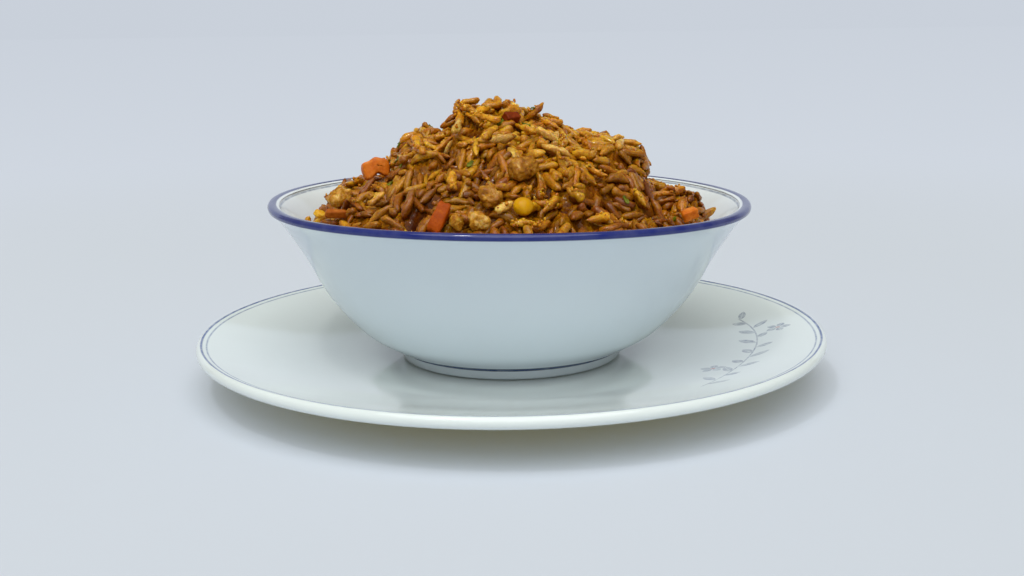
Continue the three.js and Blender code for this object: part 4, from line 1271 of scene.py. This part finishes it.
# a plain lit wall far behind, as bright as the floor
wm, nt, bsdf = material("studio_wall")
pos = node(nt, "ShaderNodeTexCoord").outputs["Object"]
wall_col = ramp(nt, noise(nt, pos, 0.6, 2.0), [(0.3, tuple(x * 0.99 for x in FAR)), (0.7, FAR)])
bsdf.inputs["Base Color"].default_value = (0.0, 0.0, 0.0, 1)
bsdf.inputs["Specular IOR Level"].default_value = 0.0
bsdf.inputs["Roughness"].default_value = 1.0
nt.links.new(wall_col, bsdf.inputs["Emission Color"])
bsdf.inputs["Emission Strength"].default_value = 1.0
V = np.array([[-9000.0, 8990.0, -10.0], [9000.0, 8990.0, -10.0], [9000.0, 8990.0, 3500.0], [-9000.0, 8990.0, 3500.0]])
wall = make_mesh("studio_wall", V, np.array([[0, 1, 2, 3]]), [wm])

world = bpy.data.worlds.new("studio")
bpy.context.scene.world = world
world.use_nodes = True
wnt = world.node_tree
bg = wnt.nodes["Background"]
wdir = node(wnt, "ShaderNodeTexCoord").outputs["Generated"]
wsep = node(wnt, "ShaderNodeSeparateXYZ", {0: wdir})
# a little brighter towards the viewer, where the room is
k = math_(wnt, "MULTIPLY_ADD", wsep.outputs[1], -0.09, 0.355)
wcol = mix(wnt, 1.0, (1.0, 1.0, 1.0), (1.0, 0.975, 0.86), "MULTIPLY")
wnt.links.new(wcol, bg.inputs["Color"])
wnt.links.new(k, bg.inputs["Strength"])


def area(name, loc, target, size, power, col=(1, 1, 1)):
    L_ = bpy.data.lights.new(name, "AREA")
    L_.shape = "RECTANGLE"
    L_.size, L_.size_y = size
    L_.energy = power
    L_.color = col
    o = bpy.data.objects.new(name, L_)
    bpy.context.scene.collection.objects.link(o)
    o.location = loc
    o.rotation_euler = (Vector(target) - Vector(loc)).to_track_quat("-Z", "Y").to_euler()
    return o


key = bpy.data.lights.new("softbox_overhead", "SUN")
key.energy = 1.90
key.angle = math.radians(66)
key.color = (0.95, 0.985, 1.0)
key_ob = bpy.data.objects.new("softbox_overhead", key)
bpy.context.scene.collection.objects.link(key_ob)
key_ob.rotation_euler = Vector((0.02, 0.48, -1.0)).to_track_quat("-Z", "Y").to_euler()
area("softbox_front", (0.2, -2.4, 1.0), (0, 0, 0.05), (1.8, 1.0), 2.2, (0.97, 0.99, 1.0))
area("softbox_small", (-0.35, -0.55, 1.25), (0, 0, 0.06), (0.12, 0.12), 2.2, (1.0, 0.99, 0.97))

# ---------------------------------------------------------------- camera
cam_data = bpy.data.cameras.new("view")
cam_data.sensor_width = 36.0
cam_data.sensor_fit = "HORIZONTAL"
cam_data.lens = 1300.0 / 1024.0 * 36.0
cam = bpy.data.objects.new("view", cam_data)
bpy.context.scene.collection.objects.link(cam)
PITCH, ROLL = math.radians(11.91), math.radians(-0.78)
cam.matrix_world = (Matrix.Translation((0.0005, -0.4817, 0.1264 + 0.008))
                    @ Matrix.Rotation(math.pi / 2 - PITCH, 4, "X") @ Matrix.Rotation(ROLL, 4, "Z"))
cam_data.clip_end = 50.0
bpy.context.scene.camera = cam

vs = bpy.context.scene.view_settings
vs.view_transform = "Standard"
vs.look = "None"
vs.exposure = 0.0
vs.gamma = 1.0

tris = {}
for ob in bpy.context.scene.objects:
    if ob.type == "MESH":
        tris[ob.name] = sum(len(q.vertices) - 2 for q in ob.data.polygons)
print("triangles", sum(tris.values()), {k: v_ for k, v_ in tris.items() if v_ > 30000})
bpy.context.view_layer.update()
